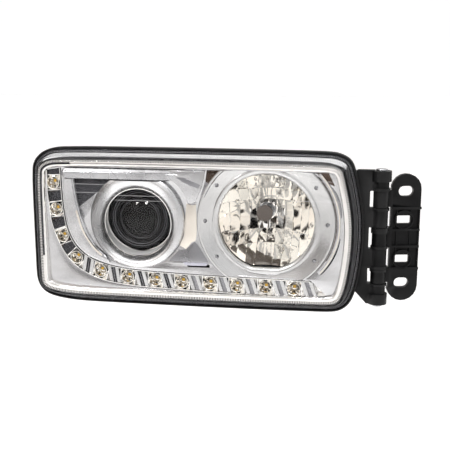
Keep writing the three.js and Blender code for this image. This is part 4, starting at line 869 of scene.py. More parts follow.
def build_bar():
    a = Acc()
    # long ridge, bevelled at its left end
    rows = []
    for x, zt, zm, zb, yf in ((-252.8, 69.2, 68.6, 68.0, 11.6), (-251.6, 72.0, 69.4, 65.0, 9.6), (-249.6, 75.6, 71.0, 62.2, 7.0), (-247.8, 76.9, 71.6, 61.0, 5.7), (-240, 76.9, 71.6, 61.0, 5.5),
                              (-160, 76.7, 71.4, 61.0, 5.5), (-100, 76.6, 71.2, 61.0, 5.5), (-88, 76.6, 70.9, 61.2, 5.9), (-80, 76.6, 70.4, 62.0, 7.4), (-72, 76.6, 69.8, 63.0, 9.2)):
        h = yf
        rows.append([(x, 13.6, zt), (x, min(13.2, h + 4.2), zt), (x, h + 3.0, zt - 0.8), (x, h + 1.8, zm + 1.4), (x, h + 0.25, zm + 0.5), (x, h, zm), (x, h + 0.25, zm - 0.5), (x, h + 1.2, zm - 1.6),
                     (x, h + 1.9, zb + 1.6), (x, h + 2.4, zb + 0.6), (x, min(13.2, h + 3.6), zb), (x, 13.6, zb)])
    a.grid(rows, M_BAR, closed_u=True)
    for r in (rows[0], rows[-1]):
        bm = bmesh.new()
        bm.faces.new([bm.verts.new(P(*p)) for p in r])
        a._take(bm, M_BAR)
    bmesh.ops.remove_doubles(a.bm, verts=a.bm.verts, dist=1e-7)
    # painted reflection: a grey line along the ridge and a grey face on its bevelled left end
    a.box(-246, -90, 5.2, 6.2, 70.9, 71.7, M_PAINTED_GREY, bevel=0.2)
    a.plate([[(-253.0, 69.4), (-249.4, 75.2), (-248.2, 71.6), (-249.6, 62.6)]], 9.0, 9.9, M_PAINTED_GREY, bevel=0.15, seg=1)
    # painted shadow: dark lines in the gaps over and under the ridge
    a.box(-248, -62, 12.9, 13.7, 77.0, 77.9, M_PAINTED_DARK, bevel=0.2)
    a.box(-246, -86, 12.4, 13.7, 59.9, 60.8, M_PAINTED_DARK, bevel=0.2)
    # tail that comes down between the rings
    tail = [(-90, 76.6), (-60, 76.6), (-31.4, 76.6), (-36.8, 52), (-44.6, 34), (-52, 26.2), (-58, 30), (-64, 44), (-71.4, 53.4), (-80, 60.4), (-90, 61.4)]
    a.plate([tail[::-1]], 9.2, 13.6, M_RING, bevel=0.9, seg=2)
    # painted reflection on the tail: grey lines and a short dark bar
    a.box(0, 40.5, 8.6, 9.6, -0.3, 0.3, M_PAINTED_GREY, bevel=0.15, turn=lambda co: Vector((-74 + co.x * 0.93 - co.z * 0.37, co.y, 65.4 - co.x * 0.37 + co.z * 0.93)))
    a.plate([[(-74.0, 66.6), (-64.2, 66.4), (-44.0, 58.6), (-38.9, 56.2), (-41.0, 50.4), (-53.4, 54.2), (-66.6, 60.6)][::-1]], 8.9, 9.6, M_PAINTED_GREY, bevel=0.2, seg=1)
    a.box(0, 12.5, 8.7, 9.6, -0.35, 0.35, M_PAINTED_DARK, bevel=0.15, turn=lambda co: Vector((-57.4 + co.x, co.y, 27.6 + co.z)))
    a.done("top_bar_form", "lamp_body", "satin_silver", ["bezel_top_bar"])
    o = spline(BLADE_OUT, 6, False)
    i = spline(BLADE_IN, 6, False)
    a = Acc()
    rows = []
    n = 40
    def at(line, t):
        k = t * (len(line) - 1)
        j = min(len(line) - 2, int(k))
        w = k - j
        return (line[j][0] * (1 - w) + line[j + 1][0] * w, line[j][1] * (1 - w) + line[j + 1][1] * w)
    for s in range(n + 1):
        t = s / n
        p, q = at(o, t), at(i, t)
        sec = []
        for w, y in ((0.0, 13.5), (0.0, 8.2), (0.05, 7.0), (0.18, 6.6), (0.5, 6.9), (0.8, 7.6), (0.94, 8.6), (1.0, 10), (1.0, 13.5)):
            sec.append((p[0] * (1 - w) + q[0] * w, y, p[1] * (1 - w) + q[1] * w))
        rows.append(sec)
    a.grid(rows, M_SATSIL, closed_u=True)
    # ends
    for r in (rows[0], rows[-1]):
        bm = bmesh.new()
        bm.faces.new([bm.verts.new(P(*p)) for p in r])
        a._take(bm, M_SATSIL)
    bmesh.ops.remove_doubles(a.bm, verts=a.bm.verts, dist=1e-7)
    a.done("drl_blade_form", "lamp_body", "satin_silver", ["drl_inner_blade"])
    # arc trim right of the high beam, with thin strips of painted reflection: brown, grey and cream
    def arcs(r0, r1, t0, t1):
        n = 60
        o = [(HIGH[0] + r1 * math.cos(math.radians(t0 + (t1 - t0) * k / n)), HIGH[1] + r1 * math.sin(math.radians(t0 + (t1 - t0) * k / n))) for k in range(n + 1)]
        i = [(HIGH[0] + r0 * math.cos(math.radians(t0 + (t1 - t0) * k / n)), HIGH[1] + r0 * math.sin(math.radians(t0 + (t1 - t0) * k / n))) for k in range(n + 1)]
        return i + o[::-1]
    a = Acc()
    a.plate([arcs(102.4, 108.6, 44, -42)], 9.4, 13.65, M_RING, bevel=0.7, seg=3)
    a.plate([arcs(102.7, 103.9, 43, -30)], 8.9, 10.2, M_PAINTED_BROWN, bevel=0.25, seg=1)
    a.plate([arcs(104.6, 105.3, 42, -40)], 9.0, 10.2, M_PAINTED_GREY, bevel=0.2, seg=1)
    a.plate([arcs(106.4, 108.2, 42, -41)], 9.0, 10.4, M_PAINTED_CREAM, bevel=0.4, seg=2)
    a.done("arc_trim_form", "lamp_body", "satin_silver", ["high_beam_arc_trim"])
    a = Acc()
    c = spline(BLADE_IN, 5, False)
    def strip(k0, k1, d0, d1, y0, y1, mat):
        pts = c[k0:k1]
        o, i = [], []
        for k, (x, z) in enumerate(pts):
            q0, q1 = pts[max(0, k - 1)], pts[min(len(pts) - 1, k + 1)]
            ln = max(1e-6, math.dist(q0, q1))
            nx, nz = (q1[1] - q0[1]) / ln, -(q1[0] - q0[0]) / ln
            o.append((x + nx * d0, z + nz * d0))
            i.append((x + nx * d1, z + nz * d1))
        a.plate([o + i[::-1]], y0, y1, mat, bevel=0.15, seg=1)
    m = len(c)
    # painted reflection and painted shade along the blade's inner edge: grey, cream and dark strips
    strip(0, m, 0.5, 1.3, 5.9, 6.4, M_PAINTED_GREY)
    strip(int(m * 0.30), int(m * 0.96), 1.6, 4.6, 5.9, 6.4, M_PAINTED_CREAM)
    strip(int(m * 0.52), int(m * 0.90), 0.6, 1.8, 5.7, 6.2, M_PAINTED_DARK)
    a.done("blade_edge_trim", "lamp_body", "satin_silver")


def build_rings():
    cx, cz = LOW
    prof = spline([(73, 11.4), (71.6, 8.8), (68.4, 6.9), (64, 6.1), (60.6, 6.9), (57.4, 9.4), (54.8, 13.0), (53.0, 16.4)], 5, False)
    prof = [(73, 16.4)] + prof + [(52.2, 17.8), (51.6, 18.8), (52.2, 19.6), (54.0, 19.8), (58, 16.4)]
    n = 144
    def oval(r, y, dx=None, dz=None, rz=None):
        f = min(1.0, max(0.0, (71.0 - r) / 19.0))
        f = f * f * (3 - 2 * f)
        dx = -1.2 * f if dx is None else dx
        dz = -5.0 * f if dz is None else dz
        return [(cx + dx + r * math.cos(2 * math.pi * i / n), y, cz + dz + (rz or r) * math.sin(2 * math.pi * i / n)) for i in range(n)]
    a = Acc()
    # the ring carries the painted shade drawn along x
    a.grid([oval(r, y) for r, y in prof], M_PRING_PAINTED_SHADE, closed_v=True, keep=[((0, 0, 59.6), (0, 0, 1)), ((0, 0, -72.1), (0, 0, -1))])
    # bright line at the opening, and the short tube seen under it
    a.grid([oval(r, y, -1.2, -5.0) for r, y in ((52.0, 18.4), (51.0, 18.6), (50.6, 19.2), (51.0, 19.8), (52.0, 20.0))], M_CHROME, closed_v=True)
    tube = [(51.6, 20.4, -1.2, -3.0, 53.6), (52.2, 26.5, -1.6, -1.8, 52.6), (52.6, 32, -2.0, -0.8, 51.8), (53.2, 37, -2.6, -0.6, 52.1)]
    a.grid([oval(r, y, dx, dz, rz) for r, y, dx, dz, rz in tube] + [oval(r + 0.9, y, dx, dz, rz + 0.9) for r, y, dx, dz, rz in tube[::-1]], M_TUBE, closed_v=True)
    a.grid([oval(r, y, -2.7, -0.6, rz) for r, y, rz in ((53.4, 37.2, 52.4), (51.8, 37.4, 51.0), (51.5, 38.2, 50.7), (52.2, 39.0, 51.4), (53.6, 38.6, 52.7))], M_CHROME, closed_v=True)
    a.done("projector_ring_form", "lamp_body", "satin_silver", ["projector_trim_ring"])

    cx, cz = HIGH
    n = 200
    def row(r, y):
        return [(cx + r * math.cos(2 * math.pi * i / n), y, cz + r * math.sin(2 * math.pi * i / n)) for i in range(n)]
    def flat_row(r, y, f):
        return [(x, y, max(z, f)) for x, _, z in row(r, y)]
    F = -66.0
    a = Acc()
    rows = [row(101.5, 16.4), row(101.5, 13.6), row(101.1, 12.8), row(100.2, 12.4), row(98.6, 12.5), row(97.2, 12.9), row(84, 17.3), row(80.4, 18.4), row(79.4, 18.5),
            row(78.6, 18.0), flat_row(77.6, 17.6, F - 6.0), flat_row(76.0, 17.5, F - 4.6), flat_row(74.2, 17.9, F - 3.2), flat_row(72.6, 18.9, F - 1.8), flat_row(71.4, 20.2, F - 0.8),
            flat_row(70.7, 21.6, F - 0.1), flat_row(70.5, 23.4, F), flat_row(71.0, 24, F - 0.5), row(76, 23.6), row(97, 16.9)]
    a.grid(rows, M_CONE, closed_v=True, keep=[((0, 0, 77.2), (0, 0, 1)), ((0, 0, -80.8), (0, 0, -1))])
    # pegs round the ring in painted grey reflection, each ringed by painted shade
    for deg in (0, 36.5, 143.5, 180, 216.5, 323.5):
        yc = 12.4 + ((99 - 90.0) / (99 - 72.5)) * 8.6
        x, z = cx + 90 * math.cos(math.radians(deg)), cz + 90 * math.sin(math.radians(deg))
        a.lathe([(0, yc - 3.3), (1.3, yc - 3.3), (1.8, yc - 2.9), (1.9, yc + 1), (0, yc + 1)], x, z, M_PAINTED_GREY, n=20)
        a.lathe([(2.2, yc - 0.4), (3.0, yc - 0.4), (3.0, yc + 0.8), (2.2, yc + 0.8)], x, z, M_PAINTED_DARK, n=20, closed=True)
    a.done("high_beam_ring_form", "lamp_body", "mirror_plastic", ["high_beam_trim_ring"])


# ------------------------------------------------------------------ day-light channel
def build_drl():
    a = Acc()
    # floor and side walls
    a.plate([channel(-0.2)], 28.6, 33.0, M_CHROME, bevel=0.3, seg=1)
    o = sideways(spline(DRL_OUTER, 4, False), 0.1)
    i = sideways(spline(DRL_INNER, 4, False), -0.1)
    for line, inward in ((o, 1), (i, -1)):
        p0, p1 = line, sideways(line, inward * 1.3)
        rows = []
        for k in range(len(line)):
            x0, z0 = p0[k]
            x1, z1 = p1[k]
            xm, zm = (x0 + x1) / 2, (z0 + z1) / 2
            rows.append([(x0, 30, z0), (x0, 12.8, z0), (x0 * 0.75 + x1 * 0.25, 12.2, z0 * 0.75 + z1 * 0.25), (x0 * 0.25 + x1 * 0.75, 12.2, z0 * 0.25 + z1 * 0.75), (x1, 12.8, z1), (x1, 30, z1)])
        a.grid(rows, M_CHROME, closed_u=True)
        for r in (rows[0], rows[-1]):
            bm = bmesh.new()
            bm.faces.new([bm.verts.new(P(*p)) for p in r])
            a._take(bm, M_CHROME)
    a.bm.verts.ensure_lookup_table()
    bmesh.ops.remove_doubles(a.bm, verts=a.bm.verts, dist=1e-7)
    NOUT = spline(DRL_OUTER, 8, False)
    NIN = spline(DRL_INNER, 8, False)
    def nearest(line, x, z):
        return min(line, key=lambda p: (p[0] - x) ** 2 + (p[1] - z) ** 2)
    def across(x, z, h):
        """The channel's middle, width and inward direction near a point."""
        p = nearest(NOUT, x, z)
        q = nearest(NIN, x, z)
        return ((p[0] + q[0]) / 2, (p[1] + q[1]) / 2), math.dist(p, q), (-math.sin(math.radians(h)), math.cos(math.radians(h)))
    def placer(mx, mz, ux, uz, lean=0.0):
        tx, tz = uz, -ux
        def place(co):
            s = co.x + co.z * lean
            return Vector((mx + tx * s + ux * co.z, co.y, mz + tz * s + uz * co.z))
        return place
    spots = []
    for k, (x, z, h) in enumerate(LEDS):
        m, w, u = across(x, z, h)
        c = (m[0] * 0.5 + x * 0.5, m[1] * 0.5 + z * 0.5)
        spots.append((c, w, u, h))
    for k, ((mx, mz), w, (ux, uz), h) in enumerate(spots):
        r0 = min(10.4, w / 2 - 0.9)
        # faceted bowl with a rolled rim; its floor carries the chip
        a.lathe([(r0 * 0.98, 29), (r0 * 0.98, 14.0), (r0 * 0.96, 13.2), (r0 * 0.91, 12.9), (r0 * 0.87, 13.4), (r0 * 0.82, 15.8), (r0 * 0.70, 19.4), (r0 * 0.52, 22.4), (r0 * 0.34, 24.0), (0, 24.4)],
                mx, mz, M_BOWL, n=14, a0=hash01(k, 3) * 0.4)
        # little prisms round the inside, as the facets of a cut bowl; some drawn black as painted dark reflection
        for q in range(10):
            t = 2 * math.pi * (q + 0.5) / 10
            rr = r0 * (0.60 if q % 2 else 0.74)
            yy = 20.6 if q % 2 else 17.6
            px, pz = mx + rr * math.cos(t), mz + rr * math.sin(t)
            def turn(co, px=px, pz=pz, t=t, yy=yy):
                rx = co.x
                return Vector((px + math.cos(t) * rx - math.sin(t) * co.z, yy + co.y + rx * -0.9, pz + math.sin(t) * rx + math.cos(t) * co.z))
            a.box(-1.25, 1.25, -0.5, 1.2, -1.35, 1.35, M_INNER if hash01(k, q, 4) < 0.42 else M_CHROME, bevel=0.35, seg=1, turn=turn)
        pl = placer(mx, mz, ux, uz)
        for sx in (-1, 1):
            a.box(sx * 11.6 - 0.6, sx * 11.6 + 0.6, 14.6, 29, -w / 2 + 1.2, w / 2 - 1.2, M_CHROME, bevel=0.4, turn=pl)
    for k in range(len(spots)):
        (x, z), w0, u0, h = spots[k]
        if k < len(spots) - 1:
            (x2, z2), w1, u1, h2 = spots[k + 1]
            px, pz, hh = (x + x2) / 2, (z + z2) / 2, (h + h2) / 2
        else:
            px, pz, hh = x + 21.5, z - 0.3, 0
        (mx, mz), w, (ux, uz) = across(px, pz, hh)
        hw = w / 2 - 1.2
        # between the bowls: dark slots of painted shade, grey on the right-hand ones, with brown and grey strips of
        # painted reflection
        if k < 3:
            pl = placer(mx, mz, ux, uz, -0.12)
            a.box(-9.4, 9.4, 19.0, 28, -hw, hw, M_PAINTED_DARK, bevel=0.8, turn=pl)
            a.box(-8.9, -7.9, 14.6, 28, -hw, hw, M_PAINTED_BROWN, bevel=0.3, turn=pl)
            a.box(7.4, 8.6, 14.6, 28, -hw, hw, M_CHROME, bevel=0.4, turn=pl)
        else:
            pl = placer(mx, mz, ux, uz, -0.34)
            dark = M_PAINTED_DARK if k < 7 else M_PAINTED_GREY
            a.box(-9.0, -3.0, 14.0, 28, -hw, hw, M_CONE, bevel=1.2, turn=pl)
            a.box(3.0, 9.0, 14.0, 28, -hw, hw, M_CONE, bevel=1.2, turn=pl)
            a.box(-2.9, 2.9, 16.5, 28, -hw, hw, dark, bevel=0.4, turn=pl)
            a.box(-0.9, -0.3, 16.0, 17, -hw, hw, M_PAINTED_GREY, bevel=0.15, turn=pl)
    # painted shade: dark end panel over the first bowl
    a.plate([[(-276.6, 71.0), (-276.9, 66.5), (-255.6, 66.5), (-255.6, 74.8)][::-1]], 14.6, 20, M_PAINTED_DARK, bevel=0.3, seg=1)
    a.done("drl_channel_form", "lamp_body", "mirror_plastic", ["drl_reflector"], angle=12)
    for k, ((mx, mz), w, (ux, uz), h) in enumerate(spots):
        c = Acc()
        # the chip sits towards the bowl's upper edge
        pl = placer(mx + 0.8, mz + 2.2, ux, uz)
        c.box(-3.2, 3.2, 20.4, 24.2, -3.0, 3.0, M_CHIPBASE, bevel=0.5, turn=pl)
        c.box(-2.0, 2.0, 19.4, 20.8, -1.9, 1.9, M_CHIP, bevel=0.6, turn=pl)
        # painted reflection: a phosphor-coloured sliver on the bowl wall, the chip seen in it
        c.box(-2.6, 2.2, 16.9, 17.5, -8.9 if k > 2 else -2.0, -7.6 if k > 2 else -1.0, M_CHIP, bevel=0.2, turn=placer(mx, mz, ux, uz) if k > 2 else placer(mx, mz - 7.6, 0.0, 1.0))
        c.done("led_chip_%02d" % (k + 1), "lamp_body", "emitter", ["led_%02d" % (k + 1)])


# ------------------------------------------------------------------ beams
def build_beams():
    cx, cz = LOW
    a = Acc()
    n = 20
    dome = [(34.4 * math.sin(math.pi / 2 * i / n), 0) for i in range(n + 1)]
    prof = [(0, 16.0)] + [(34.4 * i / n, 16 + 13.5 * (i / n) ** 2) for i in range(1, n + 1)]
    a.lathe(prof + [(36.2, 29.8), (36.4, 30.4), (36.4, 33.8), (36.0, 34.6), (0, 34.6)], cx, cz, M_PGLASS_SHADE_TINT, n=112)
    for r, w in ((29.4, 0.28), (31.6, 0.2)):
        y = 16 + 13.5 * (r / 34.4) ** 2
        a.lathe([(r - w, y - 0.02), (r, y - 0.22), (r + w, y + 0.1), (r, y + 0.4)], cx, cz, M_GREY, n=112, closed=True)
    a.done("projector_lens_form", "beam_carrier", "projector_glass", ["projector_lens"])
    a = Acc()
    a.lathe([(36.8, 31), (35.4, 30.6), (35.6, 29.8), (37.2, 28.4), (39.2, 27.0), (41, 26.4), (43.4, 26.6), (45.4, 27.6), (46.2, 29), (46.4, 31), (45.6, 33.4), (43, 37.6), (43, 74),
             (47, 74), (47, 77), (39.6, 77), (39.6, 39), (37.6, 37), (37.6, 30)], cx, cz, M_INNER, n=112, closed=True)
    for r, y in ((42.4, 26.2), (39.4, 26.8)):
        a.lathe([(r - 0.35, y + 0.6), (r - 0.35, y), (r, y - 0.25), (r + 0.35, y), (r + 0.35, y + 0.6)], cx, cz, M_GREY, n=112, closed=True)
    a.done("projector_holder_form", "beam_carrier", "black_plastic", ["projector_lens_holder"])
    # dark field between holder and ring opening
    b = Acc()
    b.lathe([(49.6, 45), (49.6, 44.0), (56, 40.8), (58, 40.2), (58, 41.4), (56.4, 42.2), (50.4, 45)], cx, cz, M_INNER, n=96, closed=True)
    b.done("projector_surround", "lamp_body", "black_plastic")

    # high-beam bowl: a grid of curved facets
    cx, cz = HIGH
    R = 72.6
    Y0 = 35.6
    def par(r):
        return 100.0 - ((max(0.0, r - 1)) / 0.876) ** 2 / 104.0
    def wall_y(x, z):
        return par(min(R, math.hypot(x, z)))
    cw = 13.3
    cols = [(-6.5 + k) * cw for k in range(14)]
    rws = [-69.4, -42.5, -23, 23, 42.5, 75]
    def cell(x, z):
        i = int(math.floor((x + 6.5 * cw) / cw))
        j = sum(1 for r in rws[1:-1] if z > r)
        return i, j
    def facet(x, z, i, j):
        xc = (-6.5 + i + 0.5) * cw
        z0, z1 = rws[j], rws[j + 1]
        zc = (z0 + z1) / 2
        u = (x - xc) / (cw / 2)
        v = (z - zc) / ((z1 - z0) / 2)
        t = (hash01(i, j, 1) - 0.5) * 0.9
        q = (hash01(i, j, 2) - 0.5) * 2.0
        rip = 0.0
        if j in (0, 4):
            rip = 0.22 * math.sin(x * 0.95 + 2 * hash01(i, j, 7)) * math.sin(z * 0.62 + 3 * hash01(i, j, 8))
        elif j == 1:
            rip = 0.14 * math.sin(x * 0.6 + i) * math.sin(z * 0.5 + j)
        return -0.32 * (1 - u * u) - 0.55 * (1 - v * v) + t * u + q * v + 0.9 * hash01(i, j, 5) + rip
    eps = 0.18
    xs = []
    for k in range(13):
        x0, x1 = cols[k], cols[k + 1]
        m = 6
        for q in range(m + 1):
            xs.append((x0 + eps + (x1 - x0 - 2 * eps) * q / m, k))
    zs = []
    for j in range(5):
        z0, z1 = rws[j], rws[j + 1]
        m = 6 if z1 - z0 < 30 else 12
        for q in range(m + 1):
            zs.append((z0 + eps + (z1 - z0 - 2 * eps) * q / m, j))
    zs = [(min(z, R - 0.02), j) for z, j in zs if z < R + 6]
    front, back = [], []
    for z, j in zs:
        w = math.sqrt(max(0.0, R * R - z * z))
        fr, bk = [], []
        for x, i in xs:
            xc = max(-w, min(w, x))
            r = math.hypot(xc, z)
            edge = min(1.0, max(0.0, (R - r) / 5.0))
            y = wall_y(xc, z) + facet(max(cols[i], min(cols[i + 1], xc)), z, i, j) * edge
            # the bulb's hole in the middle
            fr.append((cx + xc, min(99.0, y), cz + z))
            s = 1 + 2.2 / max(8.0, r)
            bk.append((cx + xc * s, min(102.5, max(36.6, wall_y(xc, z) + 3.4)), cz + max(-72.0 - 0 * cz, z * s)))
        front.append(fr)
        back.append(bk[::-1])
    rows = [f + b for f, b in zip(front, back)]
    a = Acc()
    a.grid(rows, M_BOWL, closed_u=True)
    for r in (rows[0], rows[-1]):
        m = len(r) // 2
        bm = bmesh.new()
        vs = [bm.verts.new(P(*p)) for p in r]
        for q in range(m - 1):
            quad = [vs[q], vs[q + 1], vs[2 * m - 2 - q], vs[2 * m - 1 - q]]
            bm.faces.new(quad)
        a._take(bm, M_BOWL)
    bmesh.ops.remove_doubles(a.bm, verts=a.bm.verts, dist=2e-6)
    bmesh.ops.dissolve_degenerate(a.bm, edges=a.bm.edges, dist=1e-6)
    # bulb's collar, and the flange behind the bowl
    bx, bz = BULB
    a.lathe([(16.0, 99.0), (15.2, 97.6), (13.4, 97.4), (12.6, 98.4), (12.6, 104), (22, 104), (22, 101)], bx, bz, M_BOWL, n=64, closed=True)
    a.lathe([(52, 80), (52, 83), (44, 86), (38, 90), (35, 90), (40, 84), (44, 80)], cx, cz, M_BOWL, n=64, closed=True)
    a.done("high_beam_bowl_form", "beam_carrier", "mirror_plastic", ["high_beam_reflector"], angle=14)

    a = Acc()
    a.lathe([(0, 57.4), (10.4, 57.4), (11.6, 57.7), (12.2, 58.3), (12.4, 59.2), (12.2, 62.6), (11.9, 63.2), (11.2, 63.2), (10.9, 62.6), (10.8, 60.4), (10.2, 59.5), (0, 59.2)], bx, bz, M_CAP, n=72)
    for sg in (1, -1):
        a.box(bx - 1.2, bx + 1.2, 63, 89, bz + sg * 11.3 - 0.4, bz + sg * 11.3 + 0.4, M_STEEL, bevel=0.2)
    a.lathe([(8, 88), (12.2, 88), (12.2, 89.2), (8, 89.2)], bx, bz, M_STEEL, n=64, closed=True)
    a.done("glare_cap_form", "beam_carrier", "cap_grey", ["glare_cap"])


# ------------------------------------------------------------------ the rest
def build_rest():
    refine("hinge_bracket", "bracket", "satin_black", M_SATIN, bevel=0.7, limit=35)
    refine("lamp_hinge_leaf", "lamp_body", "satin_black", M_SATIN, bevel=0.6, limit=35)
    def slimmer(a):
        # shaft a touch slimmer than the bore
        ox, oy = P(221, 52, 0).x, P(221, 52, 0).y
        for v in a.bm.verts:
            if math.hypot(v.co.x - ox, v.co.y - oy) < 0.0043:
                v.co.x = ox + (v.co.x - ox) * 0.94
                v.co.y = oy + (v.co.y - oy) * 0.94
    refine("hinge_pin", "bracket", "steel", M_STEEL, bevel=0.5, limit=40, extra=slimmer)
    for k in (1, 2, 3):
        refine("hinge_leaf_screw_%d" % k, "lamp_body", "steel", M_STEEL, bevel=0.35, limit=40)
    refine("levelling_motor", "lamp_body", "black_plastic", M_BLACK, bevel=0.8, limit=35)
    refine("connector_socket", "lamp_body", "black_plastic", M_BLACK, bevel=0.5, limit=35)
    refine("drl_driver", "lamp_body", "driver_case", M_CAST, bevel=0.7, limit=35)
    refine("breather_vent", "lamp_body", "rubber", M_RUBBER, bevel=0.5, limit=35)
    refine("horizontal_aim_screw", "horizontal_screw", "steel", M_STEEL, bevel=0.4, limit=40)
    for (cx, cz), nm, body in ((LOW, "low_beam_cover", "low_cover"), (HIGH, "high_beam_cover", "high_cover")):
        def extra(a, cx=cx, cz=cz):
            for k in range(60):
                t = 2 * math.pi * k / 60
                ux, uz = math.cos(t), math.sin(t)
                a.box(-0.9, 0.9, 172.4, 184, -0.5, 0.75, M_BLACK, bevel=0.0,
                      turn=lambda co, ux=ux, uz=uz: Vector((cx + ux * (53.9 + co.z * 0.9) - uz * co.x, co.y, cz + uz * (53.9 + co.z * 0.9) + ux * co.x)))
        refine(nm, body, "rubber", M_RUBBER, bevel=0.9, limit=30, extra=extra)


MATS = {"black_plastic": M_BLACK, "satin_black": M_SATIN, "steel": M_STEEL, "driver_case": M_CAST, "seal_foam": M_RUBBER,
        "clear_polycarbonate": M_LENS, "bezel_silver": M_BEZEL, "satin_silver": M_SATSIL, "mirror_plastic": M_CHROME, "board": M_BOARD,
        "emitter": M_CHIP, "projector_glass": M_PGLASS_SHADE_TINT, "bulb_glass": M_BULB, "grey_plastic": M_GREY, "cap_grey": M_CAP,
        "white_plastic": M_NYLON, "pin_brass": M_BRASS, "rubber": M_RUBBER}
# projector reflector and cut-off shade drawn dark: painted shade inside the projector
INTERIOR_PAINTED_SHADE = {"projector_reflector": M_PAINTED_DARK, "cutoff_shade": M_INNER}
for sp in frame["record"]["subparts"]:
    ob = frame["nodes"][sp["node"]]
    mt = INTERIOR_PAINTED_SHADE.get(sp["node"]) or MATS[sp["material_slot"]]
    if ob.data.materials:
        for i in range(len(ob.data.materials)):
            ob.data.materials[i] = mt
    else:
        ob.data.materials.append(mt)

build_housing()
build_lens()
build_bezel()
build_bar()
build_rings()
build_drl()
build_beams()
build_rest()

# ------------------------------------------------------------------ stage, light, camera
scene = bpy.context.scene
FLOOR_Z = -0.75


def build_stage():
    bm = bmesh.new()
    n = 12
    vs = [[bm.verts.new((-20 + 40 * i / n, -10 + 40 * j / n, FLOOR_Z)) for j in range(n + 1)] for i in range(n + 1)]
    for i in range(n):
        for j in range(n):
            bm.faces.new([vs[i][j], vs[i + 1][j], vs[i + 1][j + 1], vs[i][j + 1]])
    me = bpy.data.meshes.new("pale_floor")
    bm.to_mesh(me)
    bm.free()
    m = surface("pale_floor", (0.96, 0.96, 0.96), 0.9, vary=0.01, scale=3, spec=0.05)
    for nd in m.node_tree.nodes:
        if nd.type == "BSDF_PRINCIPLED":
            nd.inputs["Emission Color"].default_value = (1, 1, 1, 1)
            nd.inputs["Emission Strength"].default_value = 0.34
    me.materials.append(m)
    ob = bpy.data.objects.new("pale_floor", me)
    scene.collection.objects.link(ob)


build_stage()

w = bpy.data.worlds.new("studio")
scene.world = w
w.use_nodes = True
nt = w.node_tree
for n in list(nt.nodes):
    nt.nodes.remove(n)
N, L = nt.nodes, nt.links
wo = N.new("ShaderNodeOutputWorld")
bg = N.new("ShaderNodeBackground")
L.new(bg.outputs[0], wo.inputs[0])
tc = N.new("ShaderNodeTexCoord")
sep = N.new("ShaderNodeSeparateXYZ")
L.new(tc.outputs["Generated"], sep.inputs[0])
# broad bright field overhead and in front, darker towards the sides and low down, with soft dark bands
rz = N.new("ShaderNodeValToRGB")
rz.color_ramp.interpolation = "EASE"
cr = rz.color_ramp
cr.elements[0].position = 0.0
cr.elements[0].color = (0.75, 0.75, 0.76, 1)
cr.elements[1].position = 1.0
cr.elements[1].color = (1.25, 1.25, 1.25, 1)
for p, c in ((0.28, 1.1), (0.42, 1.05), (0.48, 0.95), (0.52, 1.0), (0.60, 1.2), (0.75, 1.35)):
    e = cr.elements.new(p)
    e.color = (c, c, c * 1.01, 1)
mz = N.new("ShaderNodeMapRange")
mz.inputs["From Min"].default_value = -1
mz.inputs["From Max"].default_value = 1
L.new(sep.outputs["Z"], mz.inputs["Value"])
L.new(mz.outputs[0], rz.inputs[0])
nz = N.new("ShaderNodeTexNoise")
nz.inputs["Scale"].default_value = 2.9
nz.inputs["Detail"].default_value = 1.0
L.new(tc.outputs["Generated"], nz.inputs[0])
rn = N.new("ShaderNodeValToRGB")
rn.color_ramp.elements[0].position = 0.405
rn.color_ramp.elements[0].color = (0.02, 0.018, 0.018, 1)
rn.color_ramp.elements[1].position = 0.455
rn.color_ramp.elements[1].color = (1, 0.995, 0.985, 1)
L.new(nz.outputs[0], rn.inputs[0])
mx = N.new("ShaderNodeMix")
mx.data_type = "RGBA"
mx.blend_type = "MULTIPLY"
mx.inputs["Factor"].default_value = 1.0
L.new(rz.outputs[0], mx.inputs["A"])
L.new(rn.outputs[0], mx.inputs["B"])
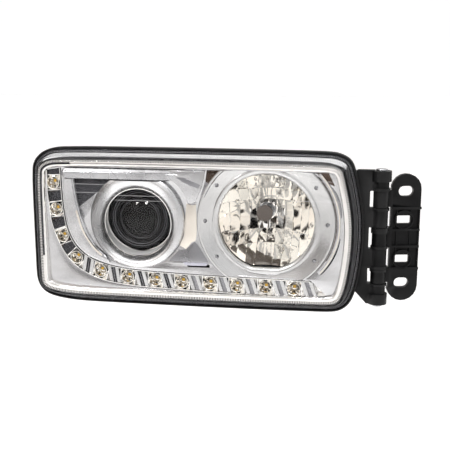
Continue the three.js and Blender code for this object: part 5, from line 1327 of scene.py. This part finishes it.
# warm cast low on the left
rx = N.new("ShaderNodeValToRGB")
rx.color_ramp.elements[0].position = 0.1
rx.color_ramp.elements[0].color = (1.0, 0.88, 0.80, 1)
rx.color_ramp.elements[1].position = 0.6
rx.color_ramp.elements[1].color = (1, 1, 1, 1)
m3 = N.new("ShaderNodeMapRange")
m3.inputs["From Min"].default_value = -1
m3.inputs["From Max"].default_value = 1
L.new(sep.outputs["X"], m3.inputs["Value"])
L.new(m3.outputs[0], rx.inputs[0])
mx2 = N.new("ShaderNodeMix")
mx2.data_type = "RGBA"
mx2.blend_type = "MULTIPLY"
mx2.inputs["Factor"].default_value = 0.6
L.new(mx.outputs["Result"], mx2.inputs["A"])
L.new(rx.outputs[0], mx2.inputs["B"])
lp = N.new("ShaderNodeLightPath")
mx3 = N.new("ShaderNodeMix")
mx3.data_type = "RGBA"
L.new(lp.outputs["Is Camera Ray"], mx3.inputs["Factor"])
L.new(mx2.outputs["Result"], mx3.inputs["A"])
mx3.inputs["B"].default_value = (1.2, 1.2, 1.2, 1)
L.new(mx3.outputs["Result"], bg.inputs["Color"])
bg.inputs["Strength"].default_value = 0.84


def area(name, loc, target, size, power, size_y=None):
    ld = bpy.data.lights.new(name, "AREA")
    ld.energy = power
    ld.shape = "RECTANGLE"
    ld.size = size
    ld.size_y = size_y or size
    ob = bpy.data.objects.new(name, ld)
    scene.collection.objects.link(ob)
    ob.location = loc
    ob.rotation_euler = (Vector(target) - Vector(loc)).to_track_quat("-Z", "Y").to_euler()
    return ob


MID = (-0.253, 0.0, 0.01)
LOWP = P(-136, 20, 24)
area("box_left", LOWP + Vector((-0.39, -0.62, 0.70)) * 1.5, LOWP, 0.22, 9)
area("box_right", LOWP + Vector((0.14, -0.64, 0.74)) * 1.5, LOWP, 0.22, 9)
area("top_soft", (-0.2, 0.3, 1.7), MID, 1.6, 10)

cam = bpy.data.cameras.new("main_camera")
cam.sensor_width = 36
cam.lens = 60.8
co = bpy.data.objects.new("main_camera", cam)
scene.collection.objects.link(co)
loc = Vector((-0.0565, -1.1340, 0.2393))
aim = Vector((-0.25338, -0.07179, 0.0215))
co.location = loc
co.rotation_euler = (aim - loc).to_track_quat("-Z", "Y").to_euler()
scene.camera = co
scene.view_settings.view_transform = "Standard"
scene.view_settings.look = "None"
scene.view_settings.exposure = 0.0
